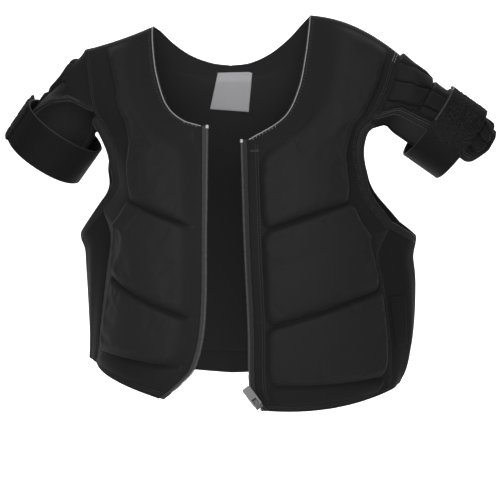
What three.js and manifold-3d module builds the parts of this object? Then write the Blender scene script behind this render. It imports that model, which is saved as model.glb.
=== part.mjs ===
// Padded body protector for skiing: an open vest with moulded foam fronts, a padded back, stretch
// sides, ribbed upper arm guards, arm straps and a front zip.
// Millimetres, +Z up, the front faces -Y, left and right are the wearer's (left is +X).
// The origin is on the line across the shoulders where the vest sits.
import * as THREE from 'three';
import { mergeVertices } from 'three/addons/utils/BufferGeometryUtils.js';
import Module from 'manifold-3d';

const wasm = await Module();
wasm.setup();

// Cloth and foam
const CLOTH = 3; // stitched cloth and foam at every margin
const PAD_RISE = 8; // front cushions above their margin
const BACK_RISE = 6; // back pad above its margin
const RIB_RISE = 7; // arm guard ribs above their margin
const PAD_EDGE = 9; // rounded shoulder of a pad
const GROOVE_HALF = 6; // half the width of a moulded groove
const SEAM_GAP = 0.4; // clearance between sewn pieces

// Heights of the front's lines, as shares of the way from hem to shoulder ridge
const PAD_FOOT = 0.06;
const LOWER_GROOVE = 0.22;
const UPPER_GROOVE = 0.46;
const ZIP_TOP = 0.66;
const UNDERARM = 0.37;
const ARM_CORNER = 0.8;
const REAR_CORNER = 0.745;
const NECK_CENTRE = 0.8;
const PAD_TOP = 0.97;

// Trim
const ZIP_MARGIN = 17; // plain cloth between zip and pad
const NECK_MARGIN = 22; // plain cloth between neckline and pad
const RIDGE_MARGIN = 20; // how much wider that cloth is at the shoulder ridge
const SIDE_MARGIN = 6; // plain cloth between the back's pad and the side seam
const ARMHOLE_MARGIN = 17; // plain cloth between the back's pad and the armhole
const BAND_WIDTH = 9; // armhole band
const TAPE_SHOW = 4.4; // zip tape beyond the panel edge
const TAPE_LOW = 0.8;
const TAPE_HIGH = 2;
const CHAIN_WIDTH = 3;
const CHAIN_HIGH = 2.9;
const STRAP_WIDTH = 48;
const STRAP_THICK = 2.2;
const TAB_THICK = 2;

// Colours
const BLACK_JERSEY = { color: 0x232325, roughness: 0.85, metalness: 0 };
const BLACK_STRETCH = { color: 0x1b1b1d, roughness: 0.9, metalness: 0 };
const BLACK_WEBBING = { color: 0x1f1f21, roughness: 0.8, metalness: 0 };
const GREY_TAPE = { color: 0x4a4a4d, roughness: 0.8, metalness: 0 };
const GREY_PLASTIC = { color: 0x55565a, roughness: 0.5, metalness: 0 };
const NICKEL = { color: 0x9a9a9c, roughness: 0.35, metalness: 0.9 };
const PALE_LABEL = { color: 0xc4c4c2, roughness: 0.8, metalness: 0 };

// Fronts. Each edge runs from hem to shoulder ridge, and a row given twice is a corner.
// edge columns: share of the way up, x, y, z
// bow columns: share of the way up, bulge outwards at mid width, rise at mid width
// padMargin columns: share of the way up, plain cloth between cushion and outer edge
const FRONT = {
  left: {
    side: 1,
    inner: [
      [0, 46, -66, -432],
      [0.03, 34, -69, -416],
      [0.06, 30, -73, -401],
      [0.22, 29, -81, -337],
      [0.46, 24, -86, -229],
      [0.66, 21, -62, -122],
      [0.66, 21, -62, -122],
      [0.74, 62, -52, -96],
      [0.81, 79, -44, -64],
      [0.87, 87, -33, -29],
      [0.93, 92, -18, 3],
      [0.97, 94, -6, 19],
      [1, 95, 4.8, 23],
    ],
    outer: [
      [0, 189, -27, -416],
      [0.06, 190, -28, -397],
      [0.12, 188, -32, -356],
      [0.22, 179, -36, -292],
      [0.31, 172, -38, -252],
      [0.37, 185, -30, -224],
      [0.37, 185, -30, -224],
      [0.46, 157, -39, -187],
      [0.56, 148, -43, -155],
      [0.66, 145, -45, -130],
      [0.74, 151, -46, -108],
      [0.8, 164, -45, -95],
      [0.87, 180, -38, -66],
      [0.93, 190, -24, -39],
      [0.97, 197, -9, -26],
      [1, 199, 4.8, -21.5],
    ],
    padMargin: [
      [0, 11],
      [0.3, 11],
      [0.37, 34],
      [0.46, 27],
      [0.6, 18],
      [0.7, 12],
      [1, 15],
    ],
    bow: [
      [0, 12, -6],
      [0.06, 16, -3],
      [0.22, 22, 2],
      [0.46, 22, 4],
      [0.66, 17, 0],
      [0.8, 8, 3],
      [1, 0, 10],
    ],
  },
  right: {
    side: -1,
    inner: [
      [0, -74, -141, -400],
      [0.03, -56, -145, -384],
      [0.06, -41, -147, -367],
      [0.22, -30, -145, -317],
      [0.46, -28, -137, -219],
      [0.66, -29, -99, -107],
      [0.66, -29, -99, -107],
      [0.74, -52, -86, -99],
      [0.81, -70, -71, -81],
      [0.87, -82, -49, -47],
      [0.93, -88, -24, -15],
      [0.97, -90, -8, 5],
      [1, -90, 4.8, 10.5],
    ],
    outer: [
      [0, -154, -44, -379],
      [0.06, -151, -46, -362],
      [0.12, -147, -48, -328],
      [0.22, -139, -50, -266],
      [0.31, -135, -50, -229],
      [0.37, -144, -42, -202],
      [0.37, -144, -42, -202],
      [0.46, -126, -50, -176],
      [0.56, -127, -52, -152],
      [0.66, -130, -54, -132],
      [0.74, -140, -53, -109],
      [0.8, -154, -48, -87],
      [0.87, -160, -38, -64],
      [0.93, -165, -23, -38],
      [0.97, -169, -8, -21.5],
      [1, -171, 4.8, -17],
    ],
    padMargin: [
      [0, 9],
      [0.22, 22],
      [0.3, 19],
      [0.37, 42],
      [0.46, 42],
      [0.6, 30],
      [0.8, 35],
      [1, 24],
    ],
    bow: [
      [0, 18, 3],
      [0.06, 22, 2],
      [0.22, 26, 1],
      [0.46, 24, 2],
      [0.66, 18, 0],
      [0.8, 8, 0],
      [1, 0, -2],
    ],
  },
};

// Back halves. They share the spine line up to the neckline.
const SPINE = [
  [0, 0, 78, -416],
  [0.1, 0, 83, -372],
  [0.3, 0, 90, -288],
  [0.5, 0, 94, -200],
  [0.66, 0, 86, -120],
  [0.8, 0, 57, -29],
  [0.8, 0, 57, -29],
];
const BACK = {
  left: {
    side: 1,
    inner: [
      ...SPINE,
      [0.85, 25, 54, -26],
      [0.9, 50, 46, -15.5],
      [0.94, 72, 31, 0.5],
      [0.97, 87, 17, 15.5],
      [1, 95, 5.2, 23],
    ],
    outer: [
      [0, 200, 38, -396],
      [0.06, 200, 40, -380],
      [0.22, 203, 45, -295],
      [0.37, 204, 42, -229],
      [0.37, 204, 42, -229],
      [0.46, 170, 49, -188],
      [0.56, 159, 53, -157],
      [0.66, 156, 53, -130],
      [0.74, 161, 51, -107],
      [0.8, 172, 47, -90],
      [0.87, 186, 40, -62],
      [0.93, 193, 28, -40],
      [0.97, 198, 16, -26],
      [1, 199, 5.2, -21.5],
    ],
    bow: [
      [0, 14, -4],
      [0.3, 14, 0],
      [0.66, 16, 0],
      [0.8, 8, 2],
      [0.9, 3, 4],
      [1, 0, 10],
    ],
  },
  right: {
    side: -1,
    inner: [
      ...SPINE,
      [0.85, -25, 54, -26],
      [0.9, -50, 46, -17.5],
      [0.94, -70, 31, -5],
      [0.97, -83, 17, 6.5],
      [1, -90, 5.2, 10.5],
    ],
    outer: [
      [0, -158, 36, -390],
      [0.06, -158, 38, -374],
      [0.22, -161, 44, -288],
      [0.37, -162, 40, -216],
      [0.37, -162, 40, -216],
      [0.46, -143, 50, -185],
      [0.56, -142, 53, -157],
      [0.66, -141, 54, -131],
      [0.74, -147, 52, -109],
      [0.8, -156, 47, -87],
      [0.87, -162, 40, -61],
      [0.93, -166, 28, -38],
      [0.97, -169, 16, -21.5],
      [1, -171, 5.2, -17],
    ],
    bow: [
      [0, 14, -4],
      [0.3, 14, 0],
      [0.66, 14, 0],
      [0.8, 8, 0],
      [0.9, 3, -4],
      [1, 0, -2],
    ],
  },
};

// Side panels. Columns: share of the way from hem to underarm, bulge outwards, rise at mid width
const SIDE_BOW = {
  left: [
    [0, 10, -3],
    [0.3, 24, 0],
    [0.7, 30, -4],
    [1, 26, -17],
  ],
  right: [
    [0, 10, 4],
    [0.3, 13, 0],
    [0.7, 20, -5],
    [1, 22, -29],
  ],
};

// Armhole centres, which the armhole bands turn towards
const ARMHOLE_CENTRE = {
  left: [222, 4, -160],
  right: [-186, 4, -150],
};

// Arms. Section columns: reach along the arm, half width front to back, half width up and down,
// angle of the front edge and of the rear edge (0 faces forward, 90 faces up and out).
// blend is the reach over which the arm seam turns into the round guard, at its front and rear edge.
// The strap stands strapClear above the ribs and hangs strapHang below the round of the arm.
const ARM = {
  left: {
    base: [185, 1, -62],
    along: [0.82, 0, -0.57],
    blend: { front: 25, rear: 25 },
    sections: [
      [25, 44, 37, -28, 226],
      [45, 41, 33, -26, 250],
      [66, 41, 33, -22, 244],
      [114, 41, 33, -30, 178],
      [126, 40, 33, -23, 138],
      [134, 39, 32, 10, 96],
    ],
    strapReach: 86,
    strapClear: 0.6,
    strapHang: 15,
    tab: { from: -18, to: 99, peel: 0 },
    bandTop: { front: 0.78, back: 0.725 },
  },
  right: {
    base: [-163, 1, -54],
    along: [-0.59, 0.2, -0.782],
    blend: { front: 12, rear: 10 },
    sections: [
      [13, 42, 27, 2, 215],
      [22, 42, 28, 10, 221],
      [30, 42, 29, 25, 227],
      [40, 41, 31, 41, 235],
      [50, 41, 33, 51, 242],
      [64, 41, 35, 63, 250],
      [100, 41, 36, 94, 262],
      [118, 41, 36, 112, 252],
      [134, 39, 35, 158, 212],
    ],
    strapReach: 85,
    strapClear: 0.6,
    strapHang: 16,
    tab: { from: 54, to: 117, peel: 8 },
    bandTop: { front: 0.78, back: 0.725 },
  },
};
const GUARD_MARGIN = 0.05; // share of the way round that is plain cloth at either edge
const RIB_COUNT = 8;
const RIB_SHOULDER = 0.28; // share of a rib's width that is rounded on each side
const CROSS_GROOVES = [40, 92]; // reach of the grooves across the ribs
const CROSS_GROOVE_HALF = 5;
const GUARD_START = 5; // plain cloth between arm seam and ribs
const GUARD_END = 7; // plain cloth round the tip
const STRAP_STEPS = 40;
const TAB_PEEL_SHARE = 0.55; // the free end starts to stand off here

// Zip slider and pull tab
const SLIDER_SHARE = 0.018; // how far up the zip the slider stands
const CHAIN_STEP = 0.01; // stretch of the zip that gives the chain's direction
const SLIDER_LENGTH = 12;
const SLIDER_TAPE_SIDE = 4;
const SLIDER_FREE_SIDE = -4.6;
const SLIDER_WEB = -2.4;
const PLATE = 1.4;
const PLATE_CLEAR = 0.6;
const BRIDGE_WIDTH = 2.6;
const BRIDGE_POST = 1.2;
const BRIDGE_HALF = 4.6;
const BRIDGE_CLEAR = 2.6;
const PULL_WIDTH = 10.5;
const PULL_LENGTH = 25;
const PULL_THICK = 1.4;
const PULL_BAR = 0.7;
const PULL_WINDOW_HALF = 2.7;
const PULL_WINDOW_END = 8.5;
const PULL_CORNER = 1.5;

// Zip ends
const ZIP_END = { left: 0.006, right: 0.014 }; // the chain starts above its retainer or pin
const ZIP_END_WIDTH = 4;
const ZIP_END_HIGH = 3.4;
const ZIP_END_NAME = { left: 'zip_box', right: 'zip_pin' };

// Labels: on the inside of the back, and on the left side
const NECK_LABEL = { rows: [0.716, 0.76, 0.788], level: 0.011, clear: 0.7, thick: 0.8 };
const SIDE_LABEL = { width: 14, from: 0.29, to: 0.54, start: 3, thick: 0.8, steps: 3 };

const group = new THREE.Group();

function addPiece(name, geometry, look, parent = group) {
  const mesh = new THREE.Mesh(geometry, new THREE.MeshStandardMaterial(look));
  mesh.name = name;
  parent.add(mesh);
  return mesh;
}

function smooth(t) {
  const s = Math.min(1, Math.max(0, t));
  return s * s * (3 - 2 * s);
}

function slopeOf(rows, i, column) {
  const low = i > 0 && rows[i - 1][0] < rows[i][0] ? rows[i - 1] : rows[i];
  const high = i < rows.length - 1 && rows[i + 1][0] > rows[i][0] ? rows[i + 1] : rows[i];
  return (high[column] - low[column]) / (high[0] - low[0]);
}

// Values of a table at a station, on a smooth curve through its rows
function follow(rows, station) {
  const at = Math.min(rows[rows.length - 1][0], Math.max(rows[0][0], station));
  let i = 0;
  while (i < rows.length - 2 && at > rows[i + 1][0]) {
    i += 1;
  }
  const step = rows[i + 1][0] - rows[i][0];
  const t = (at - rows[i][0]) / step;
  const values = [];
  for (let column = 1; column < rows[i].length; column += 1) {
    const a = rows[i][column];
    const b = rows[i + 1][column];
    const startSlope = slopeOf(rows, i, column) * step;
    const endSlope = slopeOf(rows, i + 1, column) * step;
    const rise = b - a;
    const c2 = 3 * rise - 2 * startSlope - endSlope;
    const c3 = startSlope + endSlope - 2 * rise;
    values.push(a + t * (startSlope + t * (c2 + t * c3)));
  }
  return values;
}

function pointOn(rows, station) {
  return new THREE.Vector3(...follow(rows, station));
}

// Edge as it is built: straight between the stations of its panel's rows
function builtEdge(rows, stations, at) {
  const last = stations.length - 2;
  const i = Math.min(last, Math.max(0, stations.findIndex((station) => station >= at) - 1));
  const share = (at - stations[i]) / (stations[i + 1] - stations[i]);
  return pointOn(rows, stations[i]).lerp(pointOn(rows, stations[i + 1]), share);
}

// Direction from the wearer to the outside of the vest
const TORSO_HALF_WIDTH = 200;
const TORSO_HALF_DEPTH = 90;
const SHOULDER_HALF_DEPTH = 48;
const SHOULDER_FOOT = -75;
const SHOULDER_HEIGHT = 85;
const CHEST_TOP = -200;
const SHOULDER_MIDDLE = 5;
const SHOULDER_TURN = 0.8; // how far the shoulder's top turns from sideways to upwards
function outward(p) {
  const narrow = smooth((p.z - CHEST_TOP) / (SHOULDER_FOOT - CHEST_TOP));
  const depth = TORSO_HALF_DEPTH + (SHOULDER_HALF_DEPTH - TORSO_HALF_DEPTH) * narrow;
  const lift = Math.max(0, p.z - SHOULDER_FOOT) / SHOULDER_HEIGHT ** 2;
  const level = 1 - SHOULDER_TURN * smooth((p.z - SHOULDER_FOOT) / SHOULDER_HEIGHT);
  const sideways = (p.x / TORSO_HALF_WIDTH ** 2) * level;
  return new THREE.Vector3(sideways, (p.y - SHOULDER_MIDDLE) / depth ** 2, lift).normalize();
}

// A sheet holds points, the way each one faces, how far its two skins lie from it, and its cells
function newSheet() {
  return { points: [], facing: [], low: [], high: [], cells: [] };
}

function addPoint(sheet, point, facing, low, high) {
  sheet.points.push(point);
  sheet.facing.push(facing);
  sheet.low.push(low);
  sheet.high.push(high);
  return sheet.points.length - 1;
}

function turnOf(sheet, [a, b, c, d]) {
  const [first, second, third, fourth] = [a, b, c, d].map((i) => sheet.points[i]);
  const normal = third.clone().sub(first).cross(fourth.clone().sub(second));
  return normal.dot(sheet.facing[a]);
}

// Cells between the rows of a grid of point numbers, turned to face outwards
function addCells(sheet, grid) {
  const cells = [];
  for (let row = 0; row < grid.length - 1; row += 1) {
    const near = grid[row];
    const far = grid[row + 1];
    for (let column = 0; column < near.length - 1; column += 1) {
      cells.push([near[column], near[column + 1], far[column + 1], far[column]]);
    }
  }
  const turn = cells.reduce((sum, cell) => sum + turnOf(sheet, cell), 0);
  sheet.cells.push(...cells.map((cell) => (turn > 0 ? cell : [...cell].reverse())));
}

// Closed wall between the two skins of a sheet
function wallOf(sheet) {
  const count = sheet.points.length;
  const positions = [];
  for (const skin of ['high', 'low']) {
    sheet.points.forEach((point, i) => {
      const p = point.clone().addScaledVector(sheet.facing[i], sheet[skin][i]);
      positions.push(p.x, p.y, p.z);
    });
  }
  const triangles = [];
  const borders = new Map();
  for (const cell of sheet.cells) {
    const [a, b, c, d] = cell;
    triangles.push(a, b, c, a, c, d);
    triangles.push(a + count, c + count, b + count, a + count, d + count, c + count);
    cell.forEach((from, k) => {
      const to = cell[(k + 1) % 4];
      const twin = `${to}_${from}`;
      if (borders.has(twin)) {
        borders.delete(twin);
      } else {
        borders.set(`${from}_${to}`, [from, to]);
      }
    });
  }
  for (const [from, to] of borders.values()) {
    triangles.push(from, from + count, to, to, from + count, to + count);
  }
  const geometry = new THREE.BufferGeometry();
  geometry.setAttribute('position', new THREE.Float32BufferAttribute(positions, 3));
  geometry.setIndex(triangles);
  return geometry;
}

// Share of a bow: none at both edges, whole at mid width
function bowAt(across) {
  return 4 * across * (1 - across);
}

// Point of a panel: across from its inner to its outer edge, bowed outwards at mid width
function panelPoint(panel, across, up, bulgeSign) {
  const inner = pointOn(panel.inner, up);
  const outer = pointOn(panel.outer, up);
  const width = inner.distanceTo(outer);
  const inset = SEAM_GAP / 2 / width;
  const share = inset + across * (1 - 2 * inset);
  const point = inner.clone().lerp(outer, share);
  const chord = outer.clone().sub(inner).setZ(0).normalize();
  const [bulge, rise] = follow(panel.bow, up);
  const bow = bowAt(across);
  const sign = bulgeSign * panel.side;
  point.x += bow * bulge * chord.y * sign;
  point.y -= bow * bulge * chord.x * sign;
  point.z += bow * rise;
  return { point, width };
}

// Plain cloth between the neckline and a pad
function neckMargin(up) {
  return NECK_MARGIN + RIDGE_MARGIN * smooth((up - NECK_CENTRE) / (1 - NECK_CENTRE));
}

// How far a point is inside a pad, from 0 on its margin to 1 on its flat, past the rounded shoulder
const FRONT_LENGTH = 450;
function insidePad(across, up, width, innerMargin, outerMargin) {
  const fromInner = smooth((across * width - innerMargin + PAD_EDGE) / PAD_EDGE);
  const fromOuter = smooth(((1 - across) * width - outerMargin + PAD_EDGE) / PAD_EDGE);
  const fromFoot = smooth(((up - PAD_FOOT) * FRONT_LENGTH) / PAD_EDGE);
  const fromRidge = smooth(((PAD_TOP - up) * FRONT_LENGTH) / PAD_EDGE);
  return fromInner * fromOuter * fromFoot * fromRidge;
}

// Height of the moulded cushions of a front over its margin
function frontRise(panel, across, up, width) {
  const [outerMargin] = follow(panel.padMargin, up);
  const innerMargin = up < ZIP_TOP ? ZIP_MARGIN : neckMargin(up);
  let groove = 1;
  for (const line of [LOWER_GROOVE, UPPER_GROOVE]) {
    groove = Math.min(groove, smooth((Math.abs(up - line) * FRONT_LENGTH) / GROOVE_HALF));
  }
  return PAD_RISE * insidePad(across, up, width, innerMargin, outerMargin) * groove;
}

const FRONT_ACROSS = [0, 0.05, 0.1, 0.16, 0.26, 0.4, 0.54, 0.64, 0.73, 0.81, 0.89, 0.95, 1];
const FRONT_UP = [
  0, 0.02, 0.04, 0.06, 0.08, 0.11, 0.15, 0.19, 0.205, 0.22, 0.235, 0.25, 0.29, 0.33, 0.37,
  0.4, 0.43, 0.445, 0.46, 0.475, 0.49, 0.53, 0.58, 0.62, 0.66, 0.7, 0.74, 0.78, 0.8, 0.84,
  0.88, 0.92, 0.95, 0.975, 1,
];

function frontSheet(panel) {
  const sheet = newSheet();
  const grid = FRONT_UP.map((up) =>
    FRONT_ACROSS.map((across) => {
      const { point, width } = panelPoint(panel, across, up, 1);
      return addPoint(sheet, point, outward(point), 0, CLOTH + frontRise(panel, across, up, width));
    }),
  );
  addCells(sheet, grid);
  return sheet;
}

// Height of the back pad over its margin
function backRise(across, up, width) {
  const innerMargin = up > NECK_CENTRE ? neckMargin(up) : -PAD_EDGE;
  const belowNeck = (NECK_CENTRE - up) * FRONT_LENGTH + across * width;
  const underNeck = up < NECK_CENTRE ? belowNeck : NECK_MARGIN;
  const fromNeck = smooth((underNeck - NECK_MARGIN + PAD_EDGE) / PAD_EDGE);
  const outerMargin = up < UNDERARM ? SIDE_MARGIN : ARMHOLE_MARGIN;
  return BACK_RISE * insidePad(across, up, width, innerMargin, outerMargin) * fromNeck;
}

const BACK_ACROSS = [0, 0.13, 0.25, 0.45, 0.65, 0.8, 0.9, 0.96, 1];
const BACK_UP = [
  0, 0.03, 0.06, 0.08, 0.14, 0.22, 0.3, 0.37, 0.42, 0.46, 0.52, 0.58, 0.66, 0.72, 0.76, 0.8,
  0.84, 0.88, 0.92, 0.95, 0.975, 1,
];

function backSheet() {
  const sheet = newSheet();
  const spine = new Map();
  for (const panel of [BACK.left, BACK.right]) {
    const grid = BACK_UP.map((up) =>
      BACK_ACROSS.map((across) => {
        const onSpine = across === 0 && up <= NECK_CENTRE;
        if (onSpine && spine.has(up)) {
          return spine.get(up);
        }
        const { point, width } = panelPoint(panel, across, up, -1);
        if (onSpine) {
          point.copy(pointOn(SPINE, up));
        }
        const number = addPoint(sheet, point, outward(point), 0, CLOTH + backRise(across, up, width));
        if (onSpine) {
          spine.set(up, number);
        }
        return number;
      }),
    );
    addCells(sheet, grid);
  }
  return sheet;
}

// Point of a side panel, from the front's seam to the back's seam
function sidePoint(name, across, up) {
  const front = pointOn(FRONT[name].outer, up * UNDERARM);
  const back = pointOn(BACK[name].outer, up * UNDERARM);
  const inset = SEAM_GAP / 2 / front.distanceTo(back);
  const point = front.lerp(back, inset + across * (1 - 2 * inset));
  const [bulge, rise] = follow(SIDE_BOW[name], up);
  const bow = bowAt(across);
  point.x += bow * bulge * FRONT[name].side;
  point.z += bow * rise;
  return point;
}

const SIDE_ACROSS = [0, 0.2, 0.4, 0.6, 0.8, 1];
const SIDE_UP = FRONT_UP.filter((up) => up <= UNDERARM).map((up) => up / UNDERARM);

function sideSheet(name) {
  const sheet = newSheet();
  const grid = SIDE_UP.map((up) =>
    SIDE_ACROSS.map((across) => {
      const point = sidePoint(name, across, up);
      return addPoint(sheet, point, outward(point), 0, CLOTH);
    }),
  );
  addCells(sheet, grid);
  return sheet;
}

// Way round the lower armhole: down the front edge, under the arm, up the back edge
function armholeWay(name) {
  const { front, back } = ARM[name].bandTop;
  const down = [front, ...FRONT_UP.filter((up) => up < front && up > UNDERARM).reverse()];
  const rising = [...BACK_UP.filter((up) => up < back && up > UNDERARM), back];
  return [
    ...down.map((up) => builtEdge(FRONT[name].outer, FRONT_UP, up)),
    ...SIDE_ACROSS.map((across) => sidePoint(name, across, 1)),
    ...rising.map((up) => builtEdge(BACK[name].outer, BACK_UP, up)),
  ];
}

function bandSheet(name) {
  const sheet = newSheet();
  const centre = new THREE.Vector3(...ARMHOLE_CENTRE[name]);
  const grid = armholeWay(name).map((point) => {
    const facing = outward(point);
    const inwards = centre.clone().sub(point);
    inwards.addScaledVector(facing, -inwards.dot(facing)).normalize();
    return [SEAM_GAP, BAND_WIDTH].map((reach) =>
      addPoint(sheet, point.clone().addScaledVector(inwards, reach), facing, 0, CLOTH),
    );
  });
  addCells(sheet, grid);
  return sheet;
}

// Arm directions: along the arm, forwards and upwards across it
function armAxes(arm) {
  const along = new THREE.Vector3(...arm.along).normalize();
  const front = new THREE.Vector3(0, -1, 0);
  front.addScaledVector(along, -front.dot(along)).normalize();
  const up = new THREE.Vector3().crossVectors(front, along);
  if (up.z < 0) {
    up.negate();
  }
  return { base: new THREE.Vector3(...arm.base), along, front, up };
}

function roundArm(axes, reach, degrees, halfDepth, halfHeight) {
  const angle = THREE.MathUtils.degToRad(degrees);
  const point = axes.base.clone().addScaledVector(axes.along, reach);
  point.addScaledVector(axes.front, halfDepth * Math.cos(angle));
  return point.addScaledVector(axes.up, halfHeight * Math.sin(angle));
}

function radial(axes, degrees) {
  const angle = THREE.MathUtils.degToRad(degrees);
  return axes.front.clone().multiplyScalar(Math.cos(angle)).addScaledVector(axes.up, Math.sin(angle));
}

// Arm seam: from the front corner over the ridge to the back corner
function armSeam(name, round) {
  const fromRidge = Math.abs(2 * round - 1);
  return round < 0.5
    ? builtEdge(FRONT[name].outer, FRONT_UP, 1 - fromRidge * (1 - ARM_CORNER))
    : builtEdge(BACK[name].outer, BACK_UP, 1 - fromRidge * (1 - REAR_CORNER));
}

// Shares of the way round a guard: both edges, the valleys between ribs and the ribs' shoulders
function guardShares() {
  const shares = [0];
  for (let rib = 0; rib < RIB_COUNT; rib += 1) {
    for (const place of [rib, rib + RIB_SHOULDER, rib + 1 - RIB_SHOULDER]) {
      shares.push(GUARD_MARGIN + ((1 - 2 * GUARD_MARGIN) * place) / RIB_COUNT);
    }
  }
  return [...shares, 1 - GUARD_MARGIN, 1];
}

// Height of the guard's ribs over its margin
function ribRise(share, row, tip) {
  const place = (share - GUARD_MARGIN) / (1 - 2 * GUARD_MARGIN);
  if (place <= 0 || place >= 1) {
    return 0;
  }
  const inRib = (place * RIB_COUNT) % 1;
  let rise = smooth(Math.min(inRib, 1 - inRib) / RIB_SHOULDER);
  rise *= smooth((row - GUARD_START) / GUARD_START) * smooth((tip - row) / GUARD_END);
  for (const groove of CROSS_GROOVES) {
    rise *= smooth(Math.abs(row - groove) / CROSS_GROOVE_HALF);
  }
  return RIB_RISE * rise;
}

const GUARD_ROWS = [0, 5, 10, 22, 35, 40, 45, 58, 74, 87, 92, 97, 108, 120, 128, 134];

// Each line of a guard starts at its own place on the slanting seam and ends at the tip
function guardSheet(name) {
  const arm = ARM[name];
  const axes = armAxes(arm);
  const sheet = newSheet();
  const tip = arm.sections[arm.sections.length - 1][0];
  const grid = GUARD_ROWS.map((row) =>
    guardShares().map((share) => {
      const seam = armSeam(name, share);
      const first = seam.clone().sub(axes.base).dot(axes.along) + SEAM_GAP;
      const reach = THREE.MathUtils.lerp(first, tip, row / tip);
      const [halfDepth, halfHeight, from, to] = follow(arm.sections, reach);
      const degrees = THREE.MathUtils.lerp(from, to, share);
      const turn = THREE.MathUtils.lerp(arm.blend.front, arm.blend.rear, share);
      const blend = smooth((reach - first) / turn);
      const facing = outward(seam).lerp(radial(axes, degrees), blend).normalize();
      const point = seam.addScaledVector(axes.along, reach - first + SEAM_GAP);
      point.lerp(roundArm(axes, reach, degrees, halfDepth, halfHeight), blend);
      return addPoint(sheet, point, facing, 0, CLOTH + ribRise(share, row, tip));
    }),
  );
  addCells(sheet, grid);
  return sheet;
}

// Point of the strap loop: round the ribs above, hanging clear of the arm below
function strapPoint(arm, axes, reach, degrees) {
  const [halfDepth, halfHeight] = follow(arm.sections, arm.strapReach);
  const offRibs = CLOTH + RIB_RISE + arm.strapClear;
  const upper = degrees % 360 <= 180 && degrees >= 0;
  const height = halfHeight + (upper ? offRibs : arm.strapHang);
  return roundArm(axes, reach, degrees, halfDepth + offRibs, height);
}

// One line across the strap, from its shoulder edge to its hand edge
function strapLine(sheet, arm, axes, degrees, low, high) {
  const facing = radial(axes, degrees);
  const edges = [arm.strapReach - STRAP_WIDTH / 2, arm.strapReach + STRAP_WIDTH / 2];
  return edges.map((reach) => {
    const point = strapPoint(arm, axes, reach, degrees);
    return addPoint(sheet, point, facing, low, high);
  });
}

function strapSheet(name) {
  const arm = ARM[name];
  const axes = armAxes(arm);
  const sheet = newSheet();
  const grid = [];
  for (let step = 0; step < STRAP_STEPS; step += 1) {
    grid.push(strapLine(sheet, arm, axes, (360 * step) / STRAP_STEPS, 0, STRAP_THICK));
  }
  grid.push(grid[0]);
  addCells(sheet, grid);
  return sheet;
}

function tabSheet(name) {
  const arm = ARM[name];
  const axes = armAxes(arm);
  const sheet = newSheet();
  const grid = [];
  for (let degrees = arm.tab.from; degrees <= arm.tab.to; degrees += 360 / STRAP_STEPS) {
    const share = (degrees - arm.tab.from) / (arm.tab.to - arm.tab.from);
    const peel = arm.tab.peel * smooth((share - TAB_PEEL_SHARE) / (1 - TAB_PEEL_SHARE));
    const seat = STRAP_THICK + SEAM_GAP + peel;
    grid.push(strapLine(sheet, arm, axes, degrees, seat, seat + TAB_THICK));
  }
  addCells(sheet, grid);
  return sheet;
}

// Point beyond the zip edge of a front, by a reach towards the opening
function zipPoint(panel, up, reach) {
  const inner = builtEdge(panel.inner, FRONT_UP, up);
  const outer = builtEdge(panel.outer, FRONT_UP, up);
  const away = inner.clone().sub(outer).setZ(0).normalize();
  return inner.addScaledVector(away, reach);
}

// Strip along the zip, between two heights and two reaches towards the opening
function zipSheet(panel, from, to, start, end, low, high) {
  const sheet = newSheet();
  const stations = [from, ...FRONT_UP.filter((up) => up > from && up < to), to];
  const grid = stations.map((up) => {
    const facing = outward(pointOn(panel.inner, up));
    return [start, end].map((reach) => addPoint(sheet, zipPoint(panel, up, reach), facing, low, high));
  });
  addCells(sheet, grid);
  return sheet;
}

function solidOf(geometry) {
  const bare = geometry.clone();
  bare.deleteAttribute('normal');
  bare.deleteAttribute('uv');
  const merged = mergeVertices(bare);
  const vertProperties = new Float32Array(merged.attributes.position.array);
  const triVerts = new Uint32Array(merged.index.array);
  return new wasm.Manifold(new wasm.Mesh({ numProp: 3, vertProperties, triVerts }));
}

function geometryOf(solid) {
  const mesh = solid.getMesh();
  const geometry = new THREE.BufferGeometry();
  geometry.setAttribute('position', new THREE.Float32BufferAttribute(mesh.vertProperties, 3));
  geometry.setIndex([...mesh.triVerts]);
  return geometry;
}

// A profile given as [across, outward] points, drawn along the chain
function drawnProfile(points, length) {
  const shape = new THREE.Shape(points.map(([x, y]) => new THREE.Vector2(x, y)));
  const geometry = new THREE.ExtrudeGeometry(shape, { depth: length, bevelEnabled: false });
  geometry.translate(0, 0, -length / 2);
  geometry.rotateX(Math.PI / 2);
  return geometry;
}

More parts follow.
